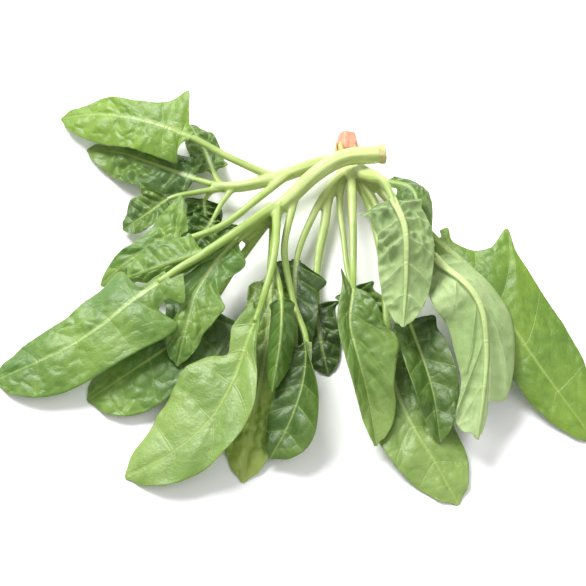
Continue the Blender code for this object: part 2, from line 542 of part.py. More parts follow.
# Everything in the order it is laid down, from the table up.
BUNCH = (
    Stalk("neck", "red", ((0, -9, 7), (1, -17, 9), (4, -28, 12)), (6.2, 6.5)),
    Stalk(
        "stem_left", "red",
        ((-3, -15, 10), (-16, -19, 13), (-30, -26, 16), (-48, -34, 17), (-66, -38, 16), (-84, -37, 14)),
        (5, 3.2),
    ),
    Leaf(
        "shade_low", "red",
        ((0, -22, 9), (-9, -34, 10), (-15, -63, 9), (-20, -99, 6)),
        ((-20, -116, 5), (-18, -138, 4), (-13, -161, -1)),
        (3.4, 2.2), Side(12, 14, -2), Side(13, 14, 0),
    ),
    Leaf(
        "shade_mid", "red",
        ((-2, -24, 12), (-11, -36, 13), (-24, -62, 12)),
        ((-32, -90, 11), (-33, -121, 8), (-36, -162, 3)),
        (2.8, 1.9), Side(14, 19, 14), Side(13, 12, 4),
    ),
    Leaf(
        "top_behind", "red",
        ((-74, -38, 14), (-79, -33, 11)),
        ((-83, -24, 9), (-89, -6, 6), (-99, 18, -1)),
        (2.0, 1.6), Side(10, 10, 2), Side(10, 10, 2), pucker=1.5,
    ),
    Leaf(
        "top_under", "red",
        ((-74, -38, 14), (-85, -34, 13)),
        ((-94, -31, 13), (-107, -25, 12), (-123, -18, 11), (-142, -8, 6), (-163, -1, -1)),
        (2.2, 1.8), Side(18, 14, 3, (-10, -5)), Side(15, 16, 1), pucker=2.0, wave=2.5,
    ),
    Leaf(
        "left_tuft", "red",
        ((-78, -37, 13), (-85, -40, 12)),
        ((-88, -44, 10), (-88, -52, 7), (-86, -64, 2)),
        (1.8, 1.4), Side(11, 11, 2, (10, 5)), Side(12, 12, 2, (10, 5)), pucker=1.5,
    ),
    Leaf(
        "left_shade", "red",
        ((-70, -38, 13), (-78, -50, 12)),
        ((-83, -60, 10), (-91, -73, 6), (-101, -88, 1)),
        (1.8, 1.4), Side(13, 16, -3), Side(13, 13, 0), pucker=1.6,
    ),
    Leaf(
        "left_small", "red",
        ((-74, -38, 14), (-92, -42, 16)),
        ((-110, -48, 17), (-121, -55, 14), (-138, -62, 4)),
        (1.9, 1.5), Side(11, 12, 2, (20, 5)), Side(13, 15, 8, (25, 10)), pucker=1.4,
    ),
    Leaf(
        "left_upper", "red",
        ((-36, -29, 17), (-53, -47, 20), (-78, -70, 21)),
        ((-101, -80, 21), (-120, -84, 18), (-135, -91, 13), (-150, -101, 3)),
        (2.6, 2.0), Side(15, 14, 2, (-10, -10)),
        Side(
            19, 28, -10, (15, 0), -20,
            ear=((-5, 3), (-8, 16), (-10, 28), (1, 24), (11, 20), (18, 12), (27, 8)),
        ),
        pucker=1.6,
    ),
    Leaf(
        "top_large", "red",
        ((-44, -33, 17), (-71, -22, 22)),
        ((-97, -8, 25), (-117, 1, 25), (-142, 11, 20), (-161, 17, 13), (-180, 20, 4)),
        (2.6, 2.0),
        Side(
            20, 20, 1, (-12, -8), -10, 3,
            ear=((0, 1), (2, 4), (4, 11), (1, 19), (12, 20), (24, 20.5), (34, 20)),
        ),
        Side(
            14, 27, 14, (8, 0), 8,
            ear=((0, 1), (4, 6), (9, 16), (14, 27), (21, 19), (30, 14.5), (42, 12.5)),
        ),
    ),
    Leaf(
        "middle_crisp", "red",
        ((-2, -24, 9), (-5, -40, 9), (-3, -73, 9)),
        ((2, -106, 9), (9, -119, 8), (20, -138, 4)),
        (2.2, 1.7), Side(12, 13, 2, (10, 0)), Side(12, 13, 2, (-5, 0)), pucker=2.0, wave=2,
    ),
    Leaf(
        "right_bottom", "red",
        ((4, -26, 10), (12, -45, 10), (20, -90, 9)),
        ((22, -140, 9), (24, -165, 9), (35, -198, 8), (48, -221, 5), (61, -245, -1)),
        (3.0, 2.2), Side(23, 18, 4, (-6, -4), 0, 3.4), Side(22, 18, 4, (-6, -4), 0, 3.0),
    ),
    Leaf(
        "right_dark", "red",
        ((5, -26, 13), (16, -50, 16), (24, -90, 18)),
        ((34, -134, 19), (42, -159, 17), (48, -184, 13), (51, -210, 7)),
        (2.6, 1.9), Side(17, 16, 4, (20, 20)), Side(14, 13, 4, (28, 35)),
    ),
    Leaf(
        "middle_folded", "red",
        ((2, -26, 15), (2, -50, 20), (2, -90, 23)),
        ((1, -120, 23), (-1, -146, 21), (3, -163, 18), (9, -184, 11), (14, -212, 1)),
        (3.0, 2.0),
        Side(
            26, 22, 26, (-4, 0), -10, 2.0,
            ear=((0, 1), (3, 9), (12, 17), (26, 22), (40, 27), (53, 22), (66, 16)),
        ),
        Side(14, 15, -9, (62, 50)),
    ),
    Leaf(
        "right_large", "red",
        ((8, -24, 14), (26, -46, 18), (40, -64, 20)),
        ((53, -81, 22), (74, -105, 24), (91, -131, 20), (112, -163, 12), (143, -206, -1)),
        (3.2, 2.2),
        Side(
            28, 34, 24, (2, 0), 0,
            ear=((-4, 5), (-2, 10), (6, 6), (13, 6.5), (21, 10), (26, 19), (24, 34), (36, 29), (61, 28)),
        ),
        Side(19, 19, 8, (-8, -5), 0, 3.4),
    ),
    Leaf(
        "right_underside", "red",
        ((8, -25, 16), (26, -56, 24), (38, -80, 30)),
        ((49, -101, 31), (63, -119, 31), (74, -135, 27), (78, -160, 18), (76, -187, 8), (72, -212, -1)),
        (3.0, 2.2),
        Side(
            22, 17, 12, (-18, -15), -15,
            ear=((0, 1), (3, 10), (12, 17), (28, 21), (50, 21.5), (72, 19), (92, 16), (99, 13), (103, 4)),
        ),
        Side(
            23, 18, 13, (-18, -12), -10, 3,
            ear=((0, 1), (4, 12), (13, 18), (30, 23.5), (50, 22), (76, 18), (93, 14), (109, 15)),
        ),
        underside_up=True,
    ),
    Leaf(
        "right_crisp", "red",
        ((7, -24, 16), (17, -38, 25)),
        ((24, -45, 26), (32, -52, 28), (38, -64, 28), (40, -84, 24), (39, -110, 17)),
        (2.4, 1.8),
        Side(12, 12, 2, (-10, -30), -35),
        Side(15, 15, 26, (-5, 0), ear=((0, 1), (3, 4), (8, 5), (15, 7), (24, 12), (32, 15))),
        pucker=2.2, wave=2.5,
    ),
    Leaf(
        "right_pointed", "red",
        ((5, -27, 16), (17, -50, 28)),
        ((25, -76, 35), (31, -94, 36), (32, -118, 34), (30, -149, 28)),
        (3.0, 2.0), Side(17, 18, 2, (-18, -15)), Side(17, 20, -4, (-18, -15)), pucker=1.6,
        underside_up=True,
    ),
    Stalk(
        "stem_pale", "pale",
        ((19, -22, 24), (-2, -25, 25), (-19, -35, 25), (-37, -53, 24), (-54, -70, 23), (-64, -80, 22)),
        (5.6, 4.0),
    ),
    Leaf(
        "left_grooved", "pale",
        ((-45, -61, 24), (-62, -76, 24)),
        ((-88, -92, 24), (-107, -98, 22), (-134, -104, 14)),
        (2.8, 2.0), Side(9, 9, 2, (-50, -40)), Side(16, 15, 3, (-5, 0), 0, 4),
    ),
    Leaf(
        "left_round", "pale",
        ((-47, -63, 22), (-68, -94, 16)),
        ((-84, -120, 12), (-106, -146, 11), (-129, -163, 8), (-155, -178, -1)),
        (2.8, 2.0), Side(27, 27, 1, full=4.5), Side(17, 26, 10, full=5),
    ),
    Leaf(
        "low_yellow", "pale",
        ((-44, -60, 20), (-46, -74, 17), (-47, -90, 14)),
        ((-48, -104, 13), (-48, -135, 11), (-52, -166, 10), (-58, -198, 8), (-63, -231, -1)),
        (2.6, 1.9), Side(18, 13, 6, (-5, -10), 0, 4), Side(18, 12, 6, (-5, -10), 0, 4), pucker=2.0,
    ),
    Leaf(
        "left_arrow", "pale",
        ((-50, -66, 24), (-59, -76, 25)),
        ((-68, -86, 25), (-84, -106, 24), (-92, -121, 22), (-96, -138, 17), (-102, -162, 6)),
        (2.8, 1.9),
        Side(
            14, 20, 45, (5, 0), 0, 1.6,
            ear=((0, 2), (3, 6), (7, 14), (13, 15), (22, 13), (33, 12), (45, 20), (57, 16), (66, 11)),
        ),
        Side(
            12, 15, 42, (5, 0), 0,
            ear=((0, 2), (8, 5), (21, 6), (32, 9), (42, 15), (47, 13), (49, 5), (60, 8), (70, 10)),
        ),
    ),
    Leaf(
        "left_large", "pale",
        ((-46, -62, 25), (-64, -80, 27), (-86, -97, 27)),
        ((-108, -112, 27), (-127, -125, 25), (-148, -141, 21), (-171, -153, 15), (-211, -165, -1)),
        (3.2, 2.2),
        Side(
            26, 28, 11, (-4, -4), -8, 2.8,
            ear=((-8, 5), (1, 20), (8, 11), (17, 16), (11, 28), (24, 31), (43, 27), (62, 25)),
        ),
        Side(
            21, 24, 19, (-4, -4), -8, 2.6,
            ear=((0, 3.4), (6, 4), (13, 4), (18, 6), (19, 24), (33, 21), (48, 21), (64, 18)),
        ),
    ),
    Leaf(
        "low_dark", "pale",
        ((-33, -50, 22), (-39, -88, 24), (-34, -123, 23)),
        ((-26, -152, 21), (-28, -176, 15), (-36, -200, 9), (-47, -219, 1)),
        (2.4, 1.8), Side(19, 13, 2, (100, -10), full=4), Side(15, 14, 4, (-5, 0), full=3),
    ),
    Leaf(
        "low_narrow", "pale",
        ((-42, -58, 24), (-46, -98, 27)),
        ((-41, -127, 26), (-41, -152, 22), (-46, -184, 12)),
        (2.2, 1.7), Side(11, 11, 2, (-45, -45)), Side(10, 10, 2, (-45, -45)),
    ),
    Leaf(
        "low_large", "pale",
        ((-44, -60, 25), (-45, -98, 27), (-49, -121, 27)),
        (
            (-54, -137, 26), (-61, -155, 25), (-69, -177, 21), (-82, -199, 15), (-101, -215, 9),
            (-131, -228, 0),
        ),
        (2.8, 2.0),
        Side(
            22, 22, 50, (50, -5), 0, 2.6,
            ear=((0, 1.5), (8, 5), (18, 8), (28, 12), (38, 17), (50, 22), (60, 23)),
        ),
        Side(
            29, 12, 13, (-6, -6), -10, 1.9,
            ear=((-4, 5), (3, 9), (13, 12), (20, 10), (28, 9), (31, 18), (37, 25), (47, 30), (62, 31)),
        ),
    ),
)


def lay_bunch():
    """Lays every stalk and leaf on the heap, in order."""
    heap = Heap()
    laid = []
    for spec in BUNCH:
        wide = isinstance(spec, Leaf) and max(spec.left.width, spec.right.width) > 18
        laid.append(Laid(heap, spec, columns=4 if wide else 3))
    return laid


def main():
    """Builds the whole bunch."""
    clear_scene()
    laid = lay_bunch()
    add_crown()
    for plant in PLANT_STALK:
        add_stalks(plant, laid)
    for piece in laid:
        if isinstance(piece.spec, Leaf):
            add_blade(piece.blade)
        elif piece.spec.name == "stem_pale":
            add_cut_end(piece)


main()
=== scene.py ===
"""The looks of a bunch of fresh spinach that lies on a table.

The leaves are laid out exactly as in the solid model, so that every blade lifts over what lies
under it in the same way. Each blade is then built again as a fine sheet with veins, puckers and a
waved margin, and the petioles grow out of their stalks. Metres, +Z up.
"""

import logging
import math
from dataclasses import dataclass, field
from enum import Enum
from typing import Any, Union

import bmesh
import bpy
import numpy as np
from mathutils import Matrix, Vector, noise
from mathutils.kdtree import KDTree

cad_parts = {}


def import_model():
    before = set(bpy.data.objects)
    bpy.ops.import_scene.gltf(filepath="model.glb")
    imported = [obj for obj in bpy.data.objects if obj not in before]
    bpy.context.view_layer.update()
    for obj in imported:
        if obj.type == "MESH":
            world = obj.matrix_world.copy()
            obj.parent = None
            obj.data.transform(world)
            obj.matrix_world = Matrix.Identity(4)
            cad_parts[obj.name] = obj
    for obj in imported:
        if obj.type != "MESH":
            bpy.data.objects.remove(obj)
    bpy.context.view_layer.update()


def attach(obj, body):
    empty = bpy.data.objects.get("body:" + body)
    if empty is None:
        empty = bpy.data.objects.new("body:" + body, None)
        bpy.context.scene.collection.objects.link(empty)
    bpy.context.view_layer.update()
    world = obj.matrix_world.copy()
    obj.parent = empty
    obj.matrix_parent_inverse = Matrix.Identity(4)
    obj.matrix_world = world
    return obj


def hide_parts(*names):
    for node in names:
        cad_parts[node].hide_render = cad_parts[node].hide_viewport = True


Array = np.ndarray
Point = tuple[float, ...]
Colour = tuple[float, float, float]

MM = 0.001

# How the pieces lie on each other, as in the solid model.
PILE_GAP = 1.0 * MM
BEND_REACH = 42 * MM
BEND_NEAR = 9 * MM
JOINED = 38 * MM
CELL = 1 * MM
MAP_LOW = (-250 * MM, -290 * MM)
MAP_HIGH = (190 * MM, 70 * MM)
BLADE_THICKNESS = 0.8 * MM
TIP_RIB_RADIUS = 0.55 * MM
RIB_SPREAD = 1.15
NOTCH_CLEARANCE = 0.9 * MM
BLUNT_TIP = 1.6 * MM
WAVES_PER_LEAF = 2.5
BELLY = 0.36
VEIN_ROWS = 13
LAST_ROOT = 0.985  # where the last line of points leaves the rib
ROOT_CROWDING = 1.5  # more than 1 crowds the lines towards the lobes
NECK_SWEEP = 0.4
NECK_OUT = 0.4
LOBE_LENGTH = 0.09
LOBE_END = (0.4, 0.5)  # shares of the lobe and of the width
SHOULDER = (0.22, 0.95)  # along the blade, and its share of the width
MARGIN_END = 0.99
MARGIN_CROWDING = 0.85
SWELL_LEAN = 0.8  # less than 1 moves a swelling's top towards the rib
LEAST_TURN = 1e-3  # radians a metre: a margin that curls less is flat
ON_RIB = 1e-6
ROUTE_STEP = 1 * MM
WALL_SIDES = 16
NOISE_SEED = 11  # without one, the vector noise is different in every run
PLAIN_EAR = 6  # stations up to the belly of a half with one plain lobe
WIDE_LEAF = 18  # millimetres: a blade wider than this has more columns in the solid model

log = logging.getLogger("spinach")


class Tone(Enum):
    """How young or deep a leaf's green is."""

    LIGHT = "light"
    SOFT = "soft"
    YELLOW = "yellow"
    MIDDLE = "middle"
    DEEP = "deep"


class Face(Enum):
    """Which side of a blade looks up."""

    UPPER = 1
    UNDER = -1


class Plant(Enum):
    """The two plants of the bunch, by their solid's name."""

    RED = "stalk_red_plant"
    PALE = "stalk_pale_plant"


@dataclass(frozen=True)
class Side:
    """One half of a blade, out from the rib, in millimetres and degrees."""

    width: float
    lobe: float
    sweep: float
    fold: Point = (0, 0)
    curl: float = 0
    full: float = 2.4
    ear: tuple[Point, ...] = ()


@dataclass(frozen=True)
class Leaf:
    """A petiole and its blade. Points are (x, y, height), in millimetres."""

    name: str
    plant: Plant
    tone: Tone
    petiole: tuple[Point, ...]
    blade: tuple[Point, ...]
    radii: Point
    left: Side
    right: Side
    pucker: float = 1.2
    wave: float = 1.5
    roll: Point = (0, 0)
    face: Face = Face.UPPER  # the side that looks up
    crisp: Point = (1, 1)  # how strongly it is crumpled, at base and tip
    deeper: Point = (0, 0)  # painted shade: how much darker its green is painted, at base and tip, where it lies in the pile's shade; below 0 it is painted lighter


@dataclass(frozen=True)
class Stalk:
    """A main stalk that petioles grow from. Points are (x, y, height), in millimetres."""

    name: str
    plant: Plant
    points: tuple[Point, ...]
    radii: Point


def smooth(points: Array, count: int) -> Array:
    """Runs a smooth curve through the points.

    Args:
        points: the points to pass through.
        count: how many even steps the curve is cut into.

    Returns:
        count + 1 points along the curve.
    """
    gaps = np.linalg.norm(np.diff(points, axis=0), axis=1)
    at = np.concatenate([[0], np.cumsum(gaps)])
    slopes = np.gradient(points, at, axis=0)
    fine = np.linspace(0, at[-1], 40 * len(points))
    span = np.clip(np.searchsorted(at, fine, side="right") - 1, 0, len(gaps) - 1)
    h = gaps[span]
    t = (fine - at[span]) / h
    curve = (
        (2 * t**3 - 3 * t**2 + 1)[:, None] * points[span]
        + ((t**3 - 2 * t**2 + t) * h)[:, None] * slopes[span]
        + (3 * t**2 - 2 * t**3)[:, None] * points[span + 1]
        + ((t**3 - t**2) * h)[:, None] * slopes[span + 1]
    )
    lengths = np.concatenate([[0], np.cumsum(np.linalg.norm(np.diff(curve, axis=0), axis=1))])
    wanted = np.linspace(0, lengths[-1], count + 1)
    return np.stack([np.interp(wanted, lengths, curve[:, k]) for k in range(3)], axis=1)


def through(stations: Array, at: Array) -> Array:
    """Reads a smooth curve that passes through evenly numbered stations.

    Args:
        stations: one value or point per station.
        at: fractional station numbers.

    Returns:
        The values at those places.
    """
    last = len(stations) - 1
    start = np.clip(np.floor(at).astype(int), 0, last - 1)
    t = (at - start).reshape(at.shape + (1,) * (stations.ndim - 1))
    before, here, after, beyond = (stations[np.clip(start + k, 0, last)] for k in (-1, 0, 1, 2))
    bend = 2 * before - 5 * here + 4 * after - beyond
    twist = 3 * here - before - 3 * after + beyond
    return here + 0.5 * ((after - before) * t + bend * t**2 + twist * t**3)


def ease(low: float, high: float, value: Array) -> Array:
    """A soft step from 0 at low to 1 at high."""
    share = np.clip((value - low) / (high - low), 0, 1)
    return share * share * (3 - 2 * share)


def grain(points: Array, size: float) -> Array:
    """Smooth random heights from about -1 to 1.

    Args:
        points: places in metres, last axis x, y and z.
        size: how wide the bumps are, in metres.

    Returns:
        One height per place.
    """
    flat = (points / size).reshape(-1, 3).tolist()
    return np.array([noise.noise(Vector(p)) for p in flat]).reshape(points.shape[:-1])


def webbing(points: Array, size: float) -> Array:
    """Distance from the lines of a wandering network of cells.

    Args:
        points: places in metres.
        size: how wide the cells are, in metres.

    Returns:
        One distance per place, 0 on a line and about 0.5 in the middle of a cell.
    """
    found = []
    for place in (points / size).reshape(-1, 3).tolist():
        place = Vector(place)
        near = noise.voronoi(place + 0.35 * noise.noise_vector(1.3 * place))[0]
        found.append(near[1] - near[0])
    return np.array(found).reshape(points.shape[:-1])


class Route:
    """The line that a petiole and its blade's rib follow."""

    def __init__(self, points: Array) -> None:
        """Lays the line through points given in metres.

        Args:
            points: the points to pass through, in metres.
        """
        rough = np.linalg.norm(np.diff(points, axis=0), axis=1).sum()
        self.points = smooth(points, max(4, round(rough / ROUTE_STEP)))
        steps = np.linalg.norm(np.diff(self.points, axis=0), axis=1)
        self.at = np.concatenate([[0], np.cumsum(steps)])
        self.length = float(self.at[-1])

    def lifted(self, at: Array, lift: Array) -> "Route":
        """The same line raised by the lifts at these distances, with its length marks kept.

        Args:
            at: distances along the line.
            lift: how far it rises at each.

        Returns:
            The raised line.
        """
        made = Route.__new__(Route)
        made.points = self.points.copy()
        made.points[:, 2] += np.interp(self.at, at, lift)
        made.at, made.length = self.at, self.length
        return made

    def place(self, s: Array) -> Array:
        """The points at distances s along the line."""
        return np.stack([np.interp(s, self.at, self.points[:, k]) for k in range(3)], axis=-1)

    def frame(self, s: Array) -> tuple[Array, Array, Array]:
        """Unit vectors at distances s: ahead, to the left and up.

        Args:
            s: distances along the line.

        Returns:
            The three sets of vectors.
        """
        s = np.clip(s, 0, self.length)
        ahead = self.place(s + 2 * ROUTE_STEP) - self.place(s - 2 * ROUTE_STEP)
        ahead /= np.linalg.norm(ahead, axis=-1, keepdims=True)
        left = np.stack([-ahead[..., 1], ahead[..., 0], np.zeros_like(ahead[..., 0])], axis=-1)
        left /= np.linalg.norm(left, axis=-1, keepdims=True)
        return ahead, left, np.cross(ahead, left)

    def nearest(self, point: Array) -> float:
        """How far along the line it passes closest to a point."""
        return float(self.at[np.argmin(np.linalg.norm(self.points - point, axis=1))])


class Heap:
    """Height of what has been laid on the table so far, and whose stalk is on top."""

    def __init__(self) -> None:
        """Starts with the bare table."""
        size = [round((high - low) / CELL) for low, high in zip(MAP_LOW, MAP_HIGH)]
        self.top = np.full(size, -PILE_GAP)
        self.owner = np.full(size, "", dtype="U8")

    def cells(self, points: Array) -> tuple[Array, Array]:
        """The map cells under these points."""
        cells = np.floor((points[..., :2] - np.array(MAP_LOW)) / CELL).astype(int)
        return cells[..., 0], cells[..., 1]

    def lay(self, points: Array, owner: str) -> None:
        """Raises the map to these surface points, and to the cells beside them.

        Args:
            points: the surface's points.
            owner: the plant whose stalk it is, or nothing for a blade.
        """
        x, y = self.cells(points)
        raised = np.full_like(self.top, -1.0)
        np.maximum.at(raised, (x, y), points[..., 2])
        for axis in (0, 1):
            raised = np.maximum.reduce([np.roll(raised, k, axis) for k in (-1, 0, 1)])
        higher = raised > self.top
        self.top[higher] = raised[higher]
        self.owner[higher] = owner

    def need(self, points: Array, plant: str) -> tuple[Array, Array]:
        """How far each point has to rise, and whether it lies over its own plant's stalks."""
        x, y = self.cells(points)
        return self.top[x, y] + PILE_GAP - points[..., 2], self.owner[x, y] == plant


def fade(sites: Array, needs: Array) -> Array:
    """The lift at every site: each need, fading out with distance along the leaf.

    Args:
        sites: flat places on the leaf.
        needs: how far each has to rise.

    Returns:
        How far each rises.
    """
    apart = np.linalg.norm(sites[:, None] - sites[None], axis=2) - BEND_NEAR
    share = np.clip(1 - (np.clip(apart, 0, None) / BEND_REACH) ** 2, 0, 1) ** 2
    return (share * np.clip(needs, 0, None)[None]).max(axis=1)


def ring(route: Route, s: Array, radius: Array, sides: int) -> Array:
    """The corners of a round tube's rings at distances s.

    Args:
        route: the tube's line.
        s: distances along it.
        radius: one radius per distance.
        sides: corners of a ring.

    Returns:
        The corners, ring by ring.
    """
    _, left, up = route.frame(s)
    turn = 2 * math.pi * (np.arange(sides) + 0.5) / sides
    around = np.cos(turn)[None, :, None] * left[:, None] + np.sin(turn)[None, :, None] * up[:, None]
    return route.place(s)[:, None] + radius[:, None, None] * around


def stem_radius(s: Array, length: float, radii: Point) -> Array:
    """A stem's radius at distances s, tapering from its first to its second."""
    return (radii[0] + (radii[1] - radii[0]) * np.clip(s / length, 0, 1)) * MM


def rib_radius(a: Array, length: float, leaf: Leaf) -> Array:
    """Half the rib's depth at distance a from the blade's base."""
    share = np.clip(a / length, 0, 1)
    return leaf.radii[1] * MM * (1 - share) + TIP_RIB_RADIUS * share


def vein_roots(length: float) -> Array:
    """Where the lines of points leave the rib, close together in the lobes."""
    return LAST_ROOT * length * np.linspace(0, 1, VEIN_ROWS) ** ROOT_CROWDING


def margin(length: float, side: Side) -> Array:
    """Where each line of points meets the margin, as (along, out).

    Args:
        length: the blade's length.
        side: the half.

    Returns:
        One place per line.
    """
    width = side.width * MM
    if side.ear:
        ear = [(along * MM, out * MM) for along, out in side.ear]
    else:
        lobe, sweep = side.lobe * MM, side.sweep * MM
        neck = NECK_SWEEP * sweep
        ear = [
            (min(0.0, neck), 0.0),
            (neck, NECK_OUT * lobe),
            (sweep, lobe),
            (sweep + LOBE_LENGTH * length, LOBE_END[0] * lobe + LOBE_END[1] * width),
            (max(NECK_SWEEP * sweep, 0.0) + SHOULDER[0] * length, SHOULDER[1] * width),
            (BELLY * length, width),
        ]
    belly = ear[-1][0] / length
    share = np.linspace(0, 1, VEIN_ROWS - len(ear) + 1)[1:] * MARGIN_END
    along = length * (belly + (1 - belly) * share**MARGIN_CROWDING)
    out = ear[-1][1] * (1 - share**side.full)
    return np.concatenate([np.array(ear), np.stack([along, out], axis=1)])


@dataclass
class Sheet:
    """A blade's sheet: how flat places on the leaf lie in space before the heap lifts them."""

    leaf: Leaf
    route: Route
    base: float

    @property
    def length(self) -> float:
        """The blade's length along its rib."""
        return self.route.length - self.base

    def place(self, side: Side, sign: int, a: Array, b: Array, lift: Array) -> tuple[Array, Array]:
        """Lays flat places out along the rib's line.

        Args:
            side: the half that they are on.
            sign: 1 for the left half and -1 for the right.
            a: distance from the blade's base, along the rib.
            b: distance out from the rib.
            lift: height over the sheet.

        Returns:
            The points and the sheet's normals there.
        """
        leaf = self.leaf
        along = np.clip(a / self.length, 0, 1)
        start = np.radians(side.fold[0] + (side.fold[1] - side.fold[0]) * along)
        turn = math.radians(side.curl) / (max(side.width, side.lobe) * MM)
        turn = turn if abs(turn) > LEAST_TURN else LEAST_TURN
        angle = start + turn * b
        out = (np.sin(angle) - np.sin(start)) / turn
        up = (np.cos(start) - np.cos(angle)) / turn + lift
        _, left, over = self.route.frame(self.base + a)
        roll = np.radians(leaf.roll[0] + (leaf.roll[1] - leaf.roll[0]) * along)[..., None]
        side_way = sign * (np.cos(roll) * left + np.sin(roll) * over)
        up_way = np.cos(roll) * over - np.sin(roll) * left
        points = self.route.place(self.base + a) + out[..., None] * side_way + up[..., None] * up_way
        return points, np.cos(angle)[..., None] * up_way - np.sin(angle)[..., None] * side_way

    def coarse_half(self, side: Side, sign: int, columns: int) -> tuple[Array, Array, Array]:
        """One half as in the solid model: upper points, lower points and flat places.

        Args:
            side: the half.
            sign: 1 for the left half and -1 for the right.
            columns: columns of points from the rib's edge out.

        Returns:
            The upper points, the lower points and the flat places.
        """
        leaf, length = self.leaf, self.length
        root = vein_roots(length)[:, None]
        along, out = (margin(length, side)[:, k, None] for k in range(2))
        rib = RIB_SPREAD * rib_radius(root, length, leaf)
        inner = np.where(along < 0, leaf.radii[1] * MM + NOTCH_CLEARANCE, rib)
        out = np.maximum(out, inner + BLUNT_TIP)
        share = np.linspace(0, 1, columns)[None]
        b = np.concatenate([np.zeros_like(root), inner + (out - inner) * share], axis=1)
        a = root + (along - root) * np.clip((b - inner) / (out - inner), 0, 1)
        share = np.concatenate([np.zeros_like(root), np.broadcast_to(share, a[:, 1:].shape)], axis=1)
        line = np.arange(VEIN_ROWS)[:, None]
        room = np.clip(b[:, -1:] / (0.5 * side.width * MM), 0, 1) ** 2
        swell = leaf.pucker * MM * (line % 2) * np.sin(math.pi * share**SWELL_LEAN)
        ripple = leaf.wave * MM * share**2 * np.sin(2 * math.pi * WAVES_PER_LEAF * line / VEIN_ROWS + sign)
        rib = rib_radius(a, length, leaf)
        face, half_thick = leaf.face.value, BLADE_THICKNESS / 2
        lift = face * (swell * room + rib - half_thick) + ripple * room
        middle, normal = self.place(side, sign, a, b, lift)
        ridge = np.clip(2 * rib - BLADE_THICKNESS, 0, None) * (share == 0) * (b < ON_RIB)
        upper = middle + normal * (half_thick + (ridge if face < 0 else 0 * ridge))[..., None]
        lower = middle - normal * (half_thick + (ridge if face > 0 else 0 * ridge))[..., None]
        return upper, lower, np.stack([self.base + a, sign * b], axis=-1)

    def coarse(self, columns: int) -> list[Array]:
        """Both halves joined: upper points, lower points and flat places."""
        sides = ((self.leaf.left, 1), (self.leaf.right, -1))
        halves = [self.coarse_half(side, sign, columns) for side, sign in sides]
        return [np.concatenate([right[:, :0:-1], left], axis=1) for left, right in zip(*halves)]


def facets(grid: Array, across: int = 12) -> Array:
    """Points spread over each cell's two triangles.

    Args:
        grid: the surface's points, row by row.
        across: points along a cell's edge.

    Returns:
        The points of each cell.
    """
    s, t = np.meshgrid(np.linspace(0, 1, across), np.linspace(0, 1, across))
    s, t = s.ravel()[:, None], t.ravel()[:, None]
    p00, p10 = grid[:-1, :-1, None], grid[1:, :-1, None]
    p11, p01 = grid[1:, 1:, None], grid[:-1, 1:, None]
    one, other = p00 + s * (p10 - p00) + t * (p11 - p10), p00 + t * (p01 - p00) + s * (p11 - p01)
    return np.where(s >= t, one, other)


def corner_needs(cell_needs: Array) -> Array:
    """The largest need among the cells that meet at each grid point.

    Args:
        cell_needs: one need per cell.

    Returns:
        One need per grid point.
    """
    rows, columns = cell_needs.shape
    needs = np.zeros((rows + 1, columns + 1))
    for i in (0, 1):
        for j in (0, 1):
            part = needs[i : i + rows, j : j + columns]
            np.maximum(part, cell_needs, out=part)
    return needs


class Laid:
    """A leaf or stalk laid on the heap, with its line bent clear."""

    def __init__(self, heap: Heap, spec: Union[Leaf, Stalk]) -> None:
        """Lays it down, and raises the heap by it.

        Args:
            heap: what lies on the table so far.
            spec: the leaf or stalk.
        """
        self.spec = spec
        is_leaf = isinstance(spec, Leaf)
        points = spec.petiole + spec.blade if is_leaf else spec.points
        self.route = Route(np.array(points, float) * MM)
        self.base = self.route.nearest(np.array(spec.blade[0]) * MM) if is_leaf else self.route.length
        stem = np.arange(0, self.base + ROUTE_STEP / 2, ROUTE_STEP)
        radius = stem_radius(stem, self.base, spec.radii)
        need, own = heap.need(ring(self.route, stem, radius, WALL_SIDES), spec.plant.name)
        rooted = (stem < JOINED)[:, None]
        needs = np.where(own & rooted, 0, need).max(axis=1)
        sites = np.stack([stem, np.zeros_like(stem)], axis=1)
        if is_leaf:
            self.columns = 4 if max(spec.left.width, spec.right.width) > WIDE_LEAF else 3
            upper, lower, flat = Sheet(spec, self.route, self.base).coarse(self.columns)
            need, _ = heap.need(facets(lower), spec.plant.name)
            sites = np.concatenate([sites, flat.reshape(-1, 2)])
            needs = np.concatenate([needs, corner_needs(need.max(axis=2)).ravel()])
        lifts = fade(sites, needs)
        self.stem = self.route.lifted(stem, lifts[: len(stem)])
        if is_leaf:
            self.lifts = lifts[len(stem) :].reshape(flat.shape[:2])
            upper[..., 2] += self.lifts
            heap.lay(facets(upper), "")
        heap.lay(ring(self.stem, stem, radius, WALL_SIDES), spec.plant.name)

    def half_lifts(self, sign: int) -> Array:
        """The lifts of one half, from the rib outwards."""
        middle = self.columns
        return self.lifts[:, middle:] if sign > 0 else self.lifts[:, middle::-1]


